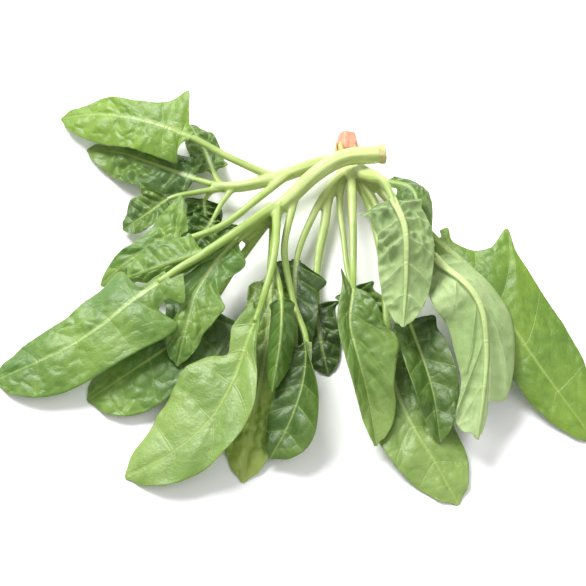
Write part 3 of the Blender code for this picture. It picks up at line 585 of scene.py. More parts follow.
BUNCH: tuple[Leaf | Stalk, ...] = (
    Stalk("neck", Plant.RED, ((0, -9, 7), (1, -17, 9), (4, -28, 12)), (6.2, 6.5)),
    Stalk(
        "stem_left", Plant.RED,
        ((-3, -15, 10), (-16, -19, 13), (-30, -26, 16), (-48, -34, 17), (-66, -38, 16), (-84, -37, 14)),
        (5, 3.2),
    ),
    Leaf(
        "shade_low", Plant.RED, Tone.DEEP,
        ((0, -22, 9), (-9, -34, 10), (-15, -63, 9), (-20, -99, 6)),
        ((-20, -116, 5), (-18, -138, 4), (-13, -161, -1)),
        (3.4, 2.2), Side(12, 14, -2), Side(13, 14, 0),
        deeper=(0.9, 0.9),
    ),
    Leaf(
        "shade_mid", Plant.RED, Tone.DEEP,
        ((-2, -24, 12), (-11, -36, 13), (-24, -62, 12)),
        ((-32, -90, 11), (-33, -121, 8), (-36, -162, 3)),
        (2.8, 1.9), Side(14, 19, 14), Side(13, 12, 4),
        deeper=(0.9, 0.7),
    ),
    Leaf(
        "top_behind", Plant.RED, Tone.DEEP,
        ((-74, -38, 14), (-79, -33, 11)),
        ((-83, -24, 9), (-89, -6, 6), (-99, 18, -1)),
        (2.0, 1.6), Side(10, 10, 2), Side(10, 10, 2), pucker=1.5,
    ),
    Leaf(
        "top_under", Plant.RED, Tone.DEEP,
        ((-74, -38, 14), (-85, -34, 13)),
        ((-94, -31, 13), (-107, -25, 12), (-123, -18, 11), (-142, -8, 6), (-163, -1, -1)),
        (2.2, 1.8), Side(18, 14, 3, (-10, -5)), Side(15, 16, 1), pucker=2.0, wave=2.5,
        crisp=(1.6, 0.6), deeper=(0.5, -0.8),
    ),
    Leaf(
        "left_tuft", Plant.RED, Tone.DEEP,
        ((-78, -37, 13), (-85, -40, 12)),
        ((-88, -44, 10), (-88, -52, 7), (-86, -64, 2)),
        (1.8, 1.4), Side(11, 11, 2, (10, 5)), Side(12, 12, 2, (10, 5)), pucker=1.5,
        crisp=(1.8, 1.8), deeper=(0.6, 0.2),
    ),
    Leaf(
        "left_shade", Plant.RED, Tone.DEEP,
        ((-70, -38, 13), (-78, -50, 12)),
        ((-83, -60, 10), (-91, -73, 6), (-101, -88, 1)),
        (1.8, 1.4), Side(13, 16, -3), Side(13, 13, 0), pucker=1.6,
        crisp=(1.5, 1.5), deeper=(0.4, 0.0),
    ),
    Leaf(
        "left_small", Plant.RED, Tone.DEEP,
        ((-74, -38, 14), (-92, -42, 16)),
        ((-110, -48, 17), (-121, -55, 14), (-138, -62, 4)),
        (1.9, 1.5), Side(11, 12, 2, (20, 5)), Side(13, 15, 8, (25, 10)), pucker=1.4,
    ),
    Leaf(
        "left_upper", Plant.RED, Tone.MIDDLE,
        ((-36, -29, 17), (-53, -47, 20), (-78, -70, 21)),
        ((-101, -80, 21), (-120, -84, 18), (-135, -91, 13), (-150, -101, 3)),
        (2.6, 2.0), Side(15, 14, 2, (-10, -10)),
        Side(
            19, 28, -10, (15, 0), -20,
            ear=((-5, 3), (-8, 16), (-10, 28), (1, 24), (11, 20), (18, 12), (27, 8)),
        ),
        pucker=1.6,
        crisp=(1.0, 1.0), deeper=(-0.3, 0.2),
    ),
    Leaf(
        "top_large", Plant.RED, Tone.LIGHT,
        ((-44, -33, 17), (-71, -22, 22)),
        ((-97, -8, 25), (-117, 1, 25), (-142, 11, 20), (-161, 17, 13), (-180, 20, 4)),
        (2.6, 2.0),
        Side(
            20, 20, 1, (-12, -8), -10, 3,
            ear=((0, 1), (2, 4), (4, 11), (1, 19), (12, 20), (24, 20.5), (34, 20)),
        ),
        Side(
            14, 27, 14, (8, 0), 8,
            ear=((0, 1), (4, 6), (9, 16), (14, 27), (21, 19), (30, 14.5), (42, 12.5)),
        ),
    ),
    Leaf(
        "middle_crisp", Plant.RED, Tone.DEEP,
        ((-2, -24, 9), (-5, -40, 9), (-3, -73, 9)),
        ((2, -106, 9), (9, -119, 8), (20, -138, 4)),
        (2.2, 1.7), Side(12, 13, 2, (10, 0)), Side(12, 13, 2, (-5, 0)), pucker=2.0, wave=2,
    ),
    Leaf(
        "right_bottom", Plant.RED, Tone.SOFT,
        ((4, -26, 10), (12, -45, 10), (20, -90, 9)),
        ((22, -140, 9), (24, -165, 9), (35, -198, 8), (48, -221, 5), (61, -245, -1)),
        (3.0, 2.2), Side(23, 18, 4, (-6, -4), 0, 3.4), Side(22, 18, 4, (-6, -4), 0, 3.0),
        deeper=(0.8, -0.3),
    ),
    Leaf(
        "right_dark", Plant.RED, Tone.DEEP,
        ((5, -26, 13), (16, -50, 16), (24, -90, 18)),
        ((34, -134, 19), (42, -159, 17), (48, -184, 13), (51, -210, 7)),
        (2.6, 1.9), Side(17, 16, 4, (20, 20)), Side(14, 13, 4, (28, 35)),
        deeper=(0.5, 0.2),
    ),
    Leaf(
        "middle_folded", Plant.RED, Tone.SOFT,
        ((2, -26, 15), (2, -50, 20), (2, -90, 23)),
        ((1, -120, 23), (-1, -146, 21), (3, -163, 18), (9, -184, 11), (14, -212, 1)),
        (3.0, 2.0),
        Side(
            26, 22, 26, (-4, 0), -10, 2.0,
            ear=((0, 1), (3, 9), (12, 17), (26, 22), (40, 27), (53, 22), (66, 16)),
        ),
        Side(14, 15, -9, (62, 50)),
        crisp=(1.6, 0.8), deeper=(0.6, -0.2),
    ),
    Leaf(
        "right_large", Plant.RED, Tone.LIGHT,
        ((8, -24, 14), (26, -46, 18), (40, -64, 20)),
        ((53, -81, 22), (74, -105, 24), (91, -131, 20), (112, -163, 12), (143, -206, -1)),
        (3.2, 2.2),
        Side(
            28, 34, 24, (2, 0), 0,
            ear=((-4, 5), (-2, 10), (6, 6), (13, 6.5), (21, 10), (26, 19), (24, 34), (36, 29), (61, 28)),
        ),
        Side(19, 19, 8, (-8, -5), 0, 3.4),
    ),
    Leaf(
        "right_underside", Plant.RED, Tone.MIDDLE,
        ((8, -25, 16), (26, -56, 24), (38, -80, 30)),
        ((49, -101, 31), (63, -119, 31), (74, -135, 27), (78, -160, 18), (76, -187, 8), (72, -212, -1)),
        (3.0, 2.2),
        Side(
            22, 17, 12, (-18, -15), -15,
            ear=((0, 1), (3, 10), (12, 17), (28, 21), (50, 21.5), (72, 19), (92, 16), (99, 13), (103, 4)),
        ),
        Side(
            23, 18, 13, (-18, -12), -10, 3,
            ear=((0, 1), (4, 12), (13, 18), (30, 23.5), (50, 22), (76, 18), (93, 14), (109, 15)),
        ),
        face=Face.UNDER,
    ),
    Leaf(
        "right_crisp", Plant.RED, Tone.DEEP,
        ((7, -24, 16), (17, -38, 25)),
        ((24, -45, 26), (32, -52, 28), (38, -64, 28), (40, -84, 24), (39, -110, 17)),
        (2.4, 1.8),
        Side(12, 12, 2, (-10, -30), -35),
        Side(15, 15, 26, (-5, 0), ear=((0, 1), (3, 4), (8, 5), (15, 7), (24, 12), (32, 15))),
        pucker=2.2, wave=2.5,
    ),
    Leaf(
        "right_pointed", Plant.RED, Tone.MIDDLE,
        ((5, -27, 16), (17, -50, 28)),
        ((25, -76, 35), (31, -94, 36), (32, -118, 34), (30, -149, 28)),
        (3.0, 2.0), Side(17, 18, 2, (-18, -15)), Side(17, 20, -4, (-18, -15)), pucker=1.6,
        face=Face.UNDER, crisp=(2.6, 0.7), deeper=(0.8, -0.2),
    ),
    Stalk(
        "stem_pale", Plant.PALE,
        ((19, -22, 24), (-2, -25, 25), (-19, -35, 25), (-37, -53, 24), (-54, -70, 23), (-64, -80, 22)),
        (5.6, 4.0),
    ),
    Leaf(
        "left_grooved", Plant.PALE, Tone.MIDDLE,
        ((-45, -61, 24), (-62, -76, 24)),
        ((-88, -92, 24), (-107, -98, 22), (-134, -104, 14)),
        (2.8, 2.0), Side(9, 9, 2, (-50, -40)), Side(16, 15, 3, (-5, 0), 0, 4),
    ),
    Leaf(
        "left_round", Plant.PALE, Tone.MIDDLE,
        ((-47, -63, 22), (-68, -94, 16)),
        ((-84, -120, 12), (-106, -146, 11), (-129, -163, 8), (-155, -178, -1)),
        (2.8, 2.0), Side(27, 27, 1, full=4.5), Side(17, 26, 10, full=5),
        deeper=(1.2, -0.5),
    ),
    Leaf(
        "low_yellow", Plant.PALE, Tone.YELLOW,
        ((-44, -60, 20), (-46, -74, 17), (-47, -90, 14)),
        ((-48, -104, 13), (-48, -135, 11), (-52, -166, 10), (-58, -198, 8), (-63, -231, -1)),
        (2.6, 1.9), Side(18, 13, 6, (-5, -10), 0, 4), Side(18, 12, 6, (-5, -10), 0, 4), pucker=2.0,
        crisp=(1.4, 1.0), deeper=(1.3, -0.6),
    ),
    Leaf(
        "left_arrow", Plant.PALE, Tone.MIDDLE,
        ((-50, -66, 24), (-59, -76, 25)),
        ((-68, -86, 25), (-84, -106, 24), (-92, -121, 22), (-96, -138, 17), (-102, -162, 6)),
        (2.8, 1.9),
        Side(
            14, 20, 45, (5, 0), 0, 1.6,
            ear=((0, 2), (3, 6), (7, 14), (13, 15), (22, 13), (33, 12), (45, 20), (57, 16), (66, 11)),
        ),
        Side(
            12, 15, 42, (5, 0), 0,
            ear=((0, 2), (8, 5), (21, 6), (32, 9), (42, 15), (47, 13), (49, 5), (60, 8), (70, 10)),
        ),
        crisp=(0.7, 1.0), deeper=(0.0, 0.2),
    ),
    Leaf(
        "left_large", Plant.PALE, Tone.MIDDLE,
        ((-46, -62, 25), (-64, -80, 27), (-86, -97, 27)),
        ((-108, -112, 27), (-127, -125, 25), (-148, -141, 21), (-171, -153, 15), (-211, -165, -1)),
        (3.2, 2.2),
        Side(
            26, 28, 11, (-4, -4), -8, 2.8,
            ear=((-8, 5), (1, 20), (8, 11), (17, 16), (11, 28), (24, 31), (43, 27), (62, 25)),
        ),
        Side(
            21, 24, 19, (-4, -4), -8, 2.6,
            ear=((0, 3.4), (6, 4), (13, 4), (18, 6), (19, 24), (33, 21), (48, 21), (64, 18)),
        ),
    ),
    Leaf(
        "low_dark", Plant.PALE, Tone.DEEP,
        ((-33, -50, 22), (-39, -88, 24), (-34, -123, 23)),
        ((-26, -152, 21), (-28, -176, 15), (-36, -200, 9), (-47, -219, 1)),
        (2.4, 1.8), Side(19, 13, 2, (100, -10), full=4), Side(15, 14, 4, (-5, 0), full=3),
        deeper=(0.5, 0.1),
    ),
    Leaf(
        "low_narrow", Plant.PALE, Tone.MIDDLE,
        ((-42, -58, 24), (-46, -98, 27)),
        ((-41, -127, 26), (-41, -152, 22), (-46, -184, 12)),
        (2.2, 1.7), Side(11, 11, 2, (-45, -45)), Side(10, 10, 2, (-45, -45)),
        deeper=(0.7, 0.2),
    ),
    Leaf(
        "low_large", Plant.PALE, Tone.SOFT,
        ((-44, -60, 25), (-45, -98, 27), (-49, -121, 27)),
        (
            (-54, -137, 26), (-61, -155, 25), (-69, -177, 21), (-82, -199, 15), (-101, -215, 9),
            (-131, -228, 0),
        ),
        (2.8, 2.0),
        Side(
            22, 22, 50, (50, -5), 0, 2.6,
            ear=((0, 1.5), (8, 5), (18, 8), (28, 12), (38, 17), (50, 22), (60, 23)),
        ),
        Side(
            29, 12, 13, (-6, -6), -10, 1.9,
            ear=((-4, 5), (3, 9), (13, 12), (20, 10), (28, 9), (31, 18), (37, 25), (47, 30), (62, 31)),
        ),
        crisp=(1.3, 1.3), deeper=(0.0, -0.5),
    ),
)


# --- Shader maths -------------------------------------------------------------------------------


class Signal:
    """A value that changes over a surface: one output socket, with arithmetic that adds nodes."""

    def __init__(self, tree: "Tree", socket: bpy.types.NodeSocket) -> None:
        """Wraps a socket of the tree."""
        self.tree = tree
        self.socket = socket

    def _math(self, operation: str, first: "Feed", second: "Feed" = 0.0) -> "Signal":
        """Adds one Math node."""
        return self.tree.node("ShaderNodeMath", {"operation": operation}, {0: first, 1: second})

    def __add__(self, other: "Feed") -> "Signal":
        """self + other."""
        return self._math("ADD", self, other)

    __radd__ = __add__

    def __sub__(self, other: "Feed") -> "Signal":
        """self - other."""
        return self._math("SUBTRACT", self, other)

    def __rsub__(self, other: "Feed") -> "Signal":
        """other - self."""
        return self._math("SUBTRACT", other, self)

    def __mul__(self, other: "Feed") -> "Signal":
        """self * other."""
        return self._math("MULTIPLY", self, other)

    __rmul__ = __mul__

    def __truediv__(self, other: "Feed") -> "Signal":
        """self / other."""
        return self._math("DIVIDE", self, other)

    def __pow__(self, other: "Feed") -> "Signal":
        """self to the power other."""
        return self._math("POWER", self, other)

    def at_most(self, other: "Feed") -> "Signal":
        """The smaller of the two."""
        return self._math("MINIMUM", self, other)

    def at_least(self, other: "Feed") -> "Signal":
        """The larger of the two."""
        return self._math("MAXIMUM", self, other)

    def step(self, low: float, high: float) -> "Signal":
        """A soft step from 0 at low to 1 at high."""
        settings = {"interpolation_type": "SMOOTHSTEP"}
        return self.tree.node("ShaderNodeMapRange", settings, {0: self, 1: low, 2: high})


Feed = Union[Signal, float, Colour]


class Tree:
    """One material's nodes."""

    def __init__(self, name: str) -> None:
        """Makes the material with its shader.

        Args:
            name: the material's name.
        """
        self.material = bpy.data.materials.new(name)
        self.material.use_nodes = True
        self.nodes = self.material.node_tree.nodes
        self.links = self.material.node_tree.links
        self.shader = self.nodes["Principled BSDF"]

    def node(
        self, kind: str, settings: dict[str, Any], sockets: dict[Union[int, str], Feed], output: int = 0
    ) -> Signal:
        """Adds a node.

        Args:
            kind: the node's type.
            settings: its own properties, set first.
            sockets: values or links of its inputs, by number or name.
            output: the number of the output to return.

        Returns:
            That output.
        """
        made = self.nodes.new(kind)
        for name, value in settings.items():
            setattr(made, name, value)
        for key, value in sockets.items():
            self.feed(made.inputs[key], value)
        return Signal(self, made.outputs[output])

    def feed(self, socket: bpy.types.NodeSocket, value: Feed) -> None:
        """Links or sets one input.

        Args:
            socket: the input.
            value: a signal, a number or a colour.
        """
        if isinstance(value, Signal):
            self.links.new(value.socket, socket)
        elif socket.type == "RGBA":
            socket.default_value = (*value, 1.0)
        else:
            socket.default_value = value

    def attribute(self, name: str, output: int = 2) -> Signal:
        """A value that the mesh holds, or a vector with output 1."""
        return self.node("ShaderNodeAttribute", {"attribute_name": name}, {}, output)

    def tint(self, share: Feed, first: Feed, second: Feed) -> Signal:
        """Blends two colours, the second by its share."""
        return self.node("ShaderNodeMix", {"data_type": "RGBA"}, {0: share, 6: first, 7: second}, 2)

    def cloud(self, vector: Signal, scale: float, detail: float = 3.0) -> Signal:
        """Soft noise from 0 to 1."""
        return self.node("ShaderNodeTexNoise", {}, {"Vector": vector, "Scale": scale, "Detail": detail})

    def cells(self, vector: Signal, scale: float) -> Signal:
        """Distance to the nearest line of a cell network."""
        settings = {"feature": "DISTANCE_TO_EDGE"}
        return self.node("ShaderNodeTexVoronoi", settings, {"Vector": vector, "Scale": scale})

    def dots(self, vector: Signal, scale: float) -> Signal:
        """Distance to the nearest of many scattered points."""
        return self.node("ShaderNodeTexVoronoi", {"feature": "F1"}, {"Vector": vector, "Scale": scale})

    def warp(self, vector: Signal, scale: float, reach: float) -> Signal:
        """The vector moved about by soft noise, by up to reach metres.

        Args:
            vector: the vector.
            scale: how fine the noise is.
            reach: how far it moves.

        Returns:
            The moved vector.
        """
        sockets = {"Vector": vector, "Scale": scale, "Detail": 2.0}
        drift = self.node("ShaderNodeTexNoise", {}, sockets, 1)
        kind = "ShaderNodeVectorMath"
        centred = self.node(kind, {"operation": "SUBTRACT"}, {0: drift, 1: (0.5, 0.5, 0.5)})
        moved = self.node(kind, {"operation": "SCALE"}, {0: centred, "Scale": reach})
        return self.node(kind, {"operation": "ADD"}, {0: vector, 1: moved})

    def stretch(self, vector: Signal, factors: Colour) -> Signal:
        """The vector multiplied axis by axis."""
        return self.node("ShaderNodeVectorMath", {"operation": "MULTIPLY"}, {0: vector, 1: factors})

    def finish(
        self, colour: Feed, roughness: Feed, height: Signal, relief: float, constants: dict[str, Any]
    ) -> bpy.types.Material:
        """Feeds the shader.

        Args:
            colour: base colour.
            roughness: roughness.
            height: bump height from 0 to 1.
            relief: what a height of 1 is, in metres.
            constants: the shader's other values.

        Returns:
            The material.
        """
        self.feed(self.shader.inputs["Base Color"], colour)
        self.feed(self.shader.inputs["Roughness"], roughness)
        bump = self.node("ShaderNodeBump", {}, {"Height": height, "Distance": relief, "Strength": 1.0})
        self.feed(self.shader.inputs["Normal"], bump)
        for name, value in constants.items():
            self.shader.inputs[name].default_value = value
        return self.material


def sRGB(red: int, green: int, blue: int) -> Colour:
    """A colour by its display values, in the shader's own scale."""
    shares = (red / 255, green / 255, blue / 255)
    return tuple(c / 12.92 if c <= 0.04045 else ((c + 0.055) / 1.055) ** 2.4 for c in shares)


@dataclass(frozen=True)
class LeafSkin:
    """The finish of one face of a blade."""

    name: str
    light: Colour
    deep: Colour
    vein: Colour
    rib: Colour
    vein_share: float = 0.3
    net_share: float = 0.12
    rib_share: float = 0.75
    roughness: float = 0.36
    raised_veins: bool = False

    def make(self) -> bpy.types.Material:
        """Builds the material.

        Returns:
            The material.
        """
        tree = Tree(self.name)
        flat = tree.attribute("flat", 1)
        across, beyond = tree.attribute("vein"), tree.attribute("beyond")
        rim, tip = tree.attribute("rim"), tree.attribute("tip")
        web, deeper = tree.attribute("web"), tree.attribute("deeper")
        wander = tree.warp(flat, 110.0, 0.006)
        drift = tree.cloud(flat, 24.0, 2.0)
        mottle = tree.cloud(wander, 190.0, 4.0)
        shade = (0.65 * drift + 0.35 * mottle).step(0.36, 0.64)
        # Painted shade: the leaf's painted-shade attribute pulls the green towards the deep colour and then
        # towards half of it, where the leaf lies in the pile's shade; below 0 it paints the green lighter.
        lamina = tree.tint((shade - deeper).at_least(0.0), self.deep, self.light)
        lamina = tree.tint(deeper.at_least(0.0) * 0.75, lamina, tuple(0.5 * c for c in self.deep))
        branch = 1.0 - web.step(0.0, 0.12)
        net = 1.0 - tree.cells(tree.warp(flat, 420.0, 0.0014), 430.0).step(0.0, 0.12)
        lateral = 1.0 - across.step(0.4, 1.3)
        halo = 1.0 - across.step(0.8, 6.0)
        web_share = (branch * 0.6).at_least(net * 0.4) * self.net_share
        lamina = tree.tint(web_share + halo * 0.08, lamina, self.vein)
        lamina = tree.tint(lateral * self.vein_share, lamina, self.vein)
        midrib = (1.0 - beyond.step(0.3, 0.85)) * (1.0 - 0.7 * tip)
        lamina = tree.tint(midrib * self.rib_share, lamina, self.rib)
        lamina = tree.tint((1.0 - rim.step(0.1, 0.7)) * 0.25, lamina, self.vein)
        specks = 1.0 - tree.dots(wander, 260.0).step(0.05, 0.12)
        lamina = tree.tint(specks * mottle.step(0.55, 0.7) * 0.25, lamina, self.deep)
        sink = 1.0 if self.raised_veins else -1.0
        crease = 1.0 - web.step(0.0, 0.4)
        wrinkle = tree.cloud(tree.warp(flat, 90.0, 0.008), 210.0, 3.0)
        lines = 0.2 * branch + 0.12 * net + 0.3 * lateral + 0.25 * crease
        height = 0.5 + sink * lines + 0.35 * tree.cloud(flat, 420.0, 4.0) + 0.4 * wrinkle
        rough = self.roughness + 0.16 * mottle - 0.05 * midrib
        return tree.finish(
            lamina, rough, height, 0.4 * MM,
            {
                "Subsurface Weight": 0.15,
                "Subsurface Radius": (0.9, 1.6, 0.35),
                "Subsurface Scale": 1.0 * MM,
                "Specular IOR Level": 0.5,
            },
        )


class LeafSkins:
    """The finishes of all tones, each made once."""

    UPPER = {
        Tone.LIGHT: (sRGB(116, 146, 44), sRGB(88, 122, 32)),
        Tone.SOFT: (sRGB(126, 152, 74), sRGB(96, 128, 50)),
        Tone.YELLOW: (sRGB(148, 168, 76), sRGB(114, 144, 50)),
        Tone.MIDDLE: (sRGB(112, 142, 56), sRGB(78, 114, 38)),
        Tone.DEEP: (sRGB(96, 124, 44), sRGB(60, 92, 28)),
    }
    VEIN = sRGB(150, 174, 96)
    RIB = sRGB(164, 186, 102)
    UNDER_LIGHT = sRGB(158, 180, 122)
    UNDER_DEEP = sRGB(134, 160, 96)
    UNDER_VEIN = sRGB(186, 204, 146)
    UNDER_RIB = sRGB(192, 210, 136)

    def __init__(self) -> None:
        """Starts with none made."""
        self.made: dict[str, bpy.types.Material] = {}

    def get(self, tone: Tone, face: Face) -> bpy.types.Material:
        """The finish of one tone's upper or under face.

        Args:
            tone: the leaf's green.
            face: the side.

        Returns:
            Its material.
        """
        name = f"leaf_{tone.value}_{face.name.lower()}"
        if name not in self.made:
            light, deep = self.UPPER[tone]
            vein = tuple(0.5 * (v + c) for v, c in zip(self.VEIN, light))
            skin = LeafSkin(name, light, deep, vein, self.RIB)
            if face is Face.UNDER:
                skin = LeafSkin(
                    name, self.UNDER_LIGHT, self.UNDER_DEEP, self.UNDER_VEIN, self.UNDER_RIB,
                    vein_share=0.4, net_share=0.2, rib_share=0.9, roughness=0.55, raised_veins=True,
                )
            self.made[name] = skin.make()
        return self.made[name]


@dataclass(frozen=True)
class StalkSkin:
    """The finish of petioles and stalks, palest at the root."""

    root: Colour = sRGB(192, 204, 134)
    reach: Colour = sRGB(140, 166, 76)
    # partly the stalks' own green streaks, partly painted shade for their shaded sides
    streak_and_shade: Colour = sRGB(122, 150, 62)
    roughness: float = 0.34

    def make(self) -> bpy.types.Material:
        """Builds the material.

        Returns:
            The material.
        """
        tree = Tree("stalk_skin")
        fibre = tree.attribute("fibre", 1)
        away = tree.attribute("away")
        lines = tree.cloud(fibre, 900.0, 3.0)
        broad = tree.cloud(fibre, 300.0, 2.0)
        blotch = tree.cloud(tree.stretch(fibre, (6.0, 1.0, 1.0)), 90.0, 3.0)
        green = (away + 0.5 * (blotch - 0.5)).step(0.05, 0.85)
        skin = tree.tint(green, self.root, self.reach)
        # Darker green streaks: partly the stalk's own streaks, partly painted shade that stands in for the
        # stalks' shaded sides.
        skin = tree.tint(broad.step(0.45, 0.72) * 0.5, skin, self.streak_and_shade)
        skin = tree.tint(lines.step(0.58, 0.75) * 0.22, skin, self.root)
        height = 0.55 * lines + 0.45 * broad
        return tree.finish(
            skin, self.roughness + 0.14 * blotch, height, 0.3 * MM,
            {
                "Subsurface Weight": 0.2,
                "Subsurface Radius": (1.0, 1.2, 0.5),
                "Subsurface Scale": 1.5 * MM,
                "Specular IOR Level": 0.5,
            },
        )


@dataclass(frozen=True)
class RootSkin:
    """The finish of the crown and of the cut end: skin outside, pith with bundles on the cut."""

    name: str
    outside: Colour
    pale: Colour
    pith: Colour
    ring: Colour

    def make(self) -> bpy.types.Material:
        """Builds the material.

        Returns:
            The material.
        """
        tree = Tree(self.name)
        place = tree.attribute("place", 1)
        cut, core = tree.attribute("cut"), tree.attribute("core")
        streaks = tree.cloud(tree.stretch(place, (1.0, 0.2, 1.0)), 480.0, 3.0)
        blotch = tree.cloud(place, 260.0, 3.0)
        skin = tree.tint((0.35 * streaks + 0.65 * blotch).step(0.38, 0.68), self.outside, self.pale)
        bundles = 1.0 - tree.dots(place, 900.0).step(0.12, 0.3)
        face = tree.tint(core.step(0.55, 0.95), self.pith, self.ring)
        face = tree.tint(bundles * 0.5, face, self.ring)
        colour = tree.tint(cut, skin, face)
        height = 0.6 * streaks + 0.4 * blotch
        return tree.finish(
            colour, 0.45 + 0.2 * blotch, height, 0.5 * MM,
            {"Subsurface Weight": 0.25, "Subsurface Radius": (1.2, 0.6, 0.4), "Subsurface Scale": 2.0 * MM},
        )


# --- Meshes -------------------------------------------------------------------------------------


def keep(mesh: bpy.types.Mesh, name: str, values: Array) -> None:
    """Keeps one number or vector per point on the mesh, for its finish.

    Args:
        mesh: the mesh.
        name: what the finish calls it.
        values: one number or vector per point.
    """
    vectors = values.ndim > 1
    held = mesh.attributes.new(name, "FLOAT_VECTOR" if vectors else "FLOAT", "POINT")
    flat = np.ascontiguousarray(values, np.float32).ravel()
    held.data.foreach_set("vector" if vectors else "value", flat)


def add_piece(name: str, mesh: bpy.types.Mesh, node: str | None) -> bpy.types.Object:
    """Puts a mesh in the scene, in place of its solid if it has one.

    Args:
        name: the piece's name.
        mesh: its mesh, in place.
        node: the solid that it stands for, or None.

    Returns:
        The piece.
    """
    piece = bpy.data.objects.new(name, mesh)
    bpy.context.scene.collection.objects.link(piece)
    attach(piece, "root")
    if node:
        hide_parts(node)
    log.info("%s: %d faces", name, len(mesh.polygons))
    return piece


def tube_faces(rings: int, sides: int, start: int = 0) -> list[tuple[int, ...]]:
    """Faces of a closed tube.

    Args:
        rings: how many rings it has.
        sides: corners of a ring.
        start: the first corner's number.

    Returns:
        The walls and both ends.
    """
    index = start + np.arange(rings * sides).reshape(rings, sides)
    after = np.roll(index, -1, axis=1)
    walls = np.stack([index[:-1], after[:-1], after[1:], index[1:]], axis=-1).reshape(-1, 4)
    return [tuple(w) for w in walls.tolist()] + [tuple(index[0][::-1].tolist()), tuple(index[-1].tolist())]


def mesh_of(name: str, points: Array, faces: list[tuple[int, ...]]) -> bpy.types.Mesh:
    """A smooth-shaded mesh from points and faces.

    Args:
        name: the mesh's name.
        points: its corners.
        faces: the corners of each face.

    Returns:
        The mesh.
    """
    mesh = bpy.data.meshes.new(name)
    mesh.from_pydata(points.tolist(), [], faces)
    mesh.shade_smooth()
    return mesh


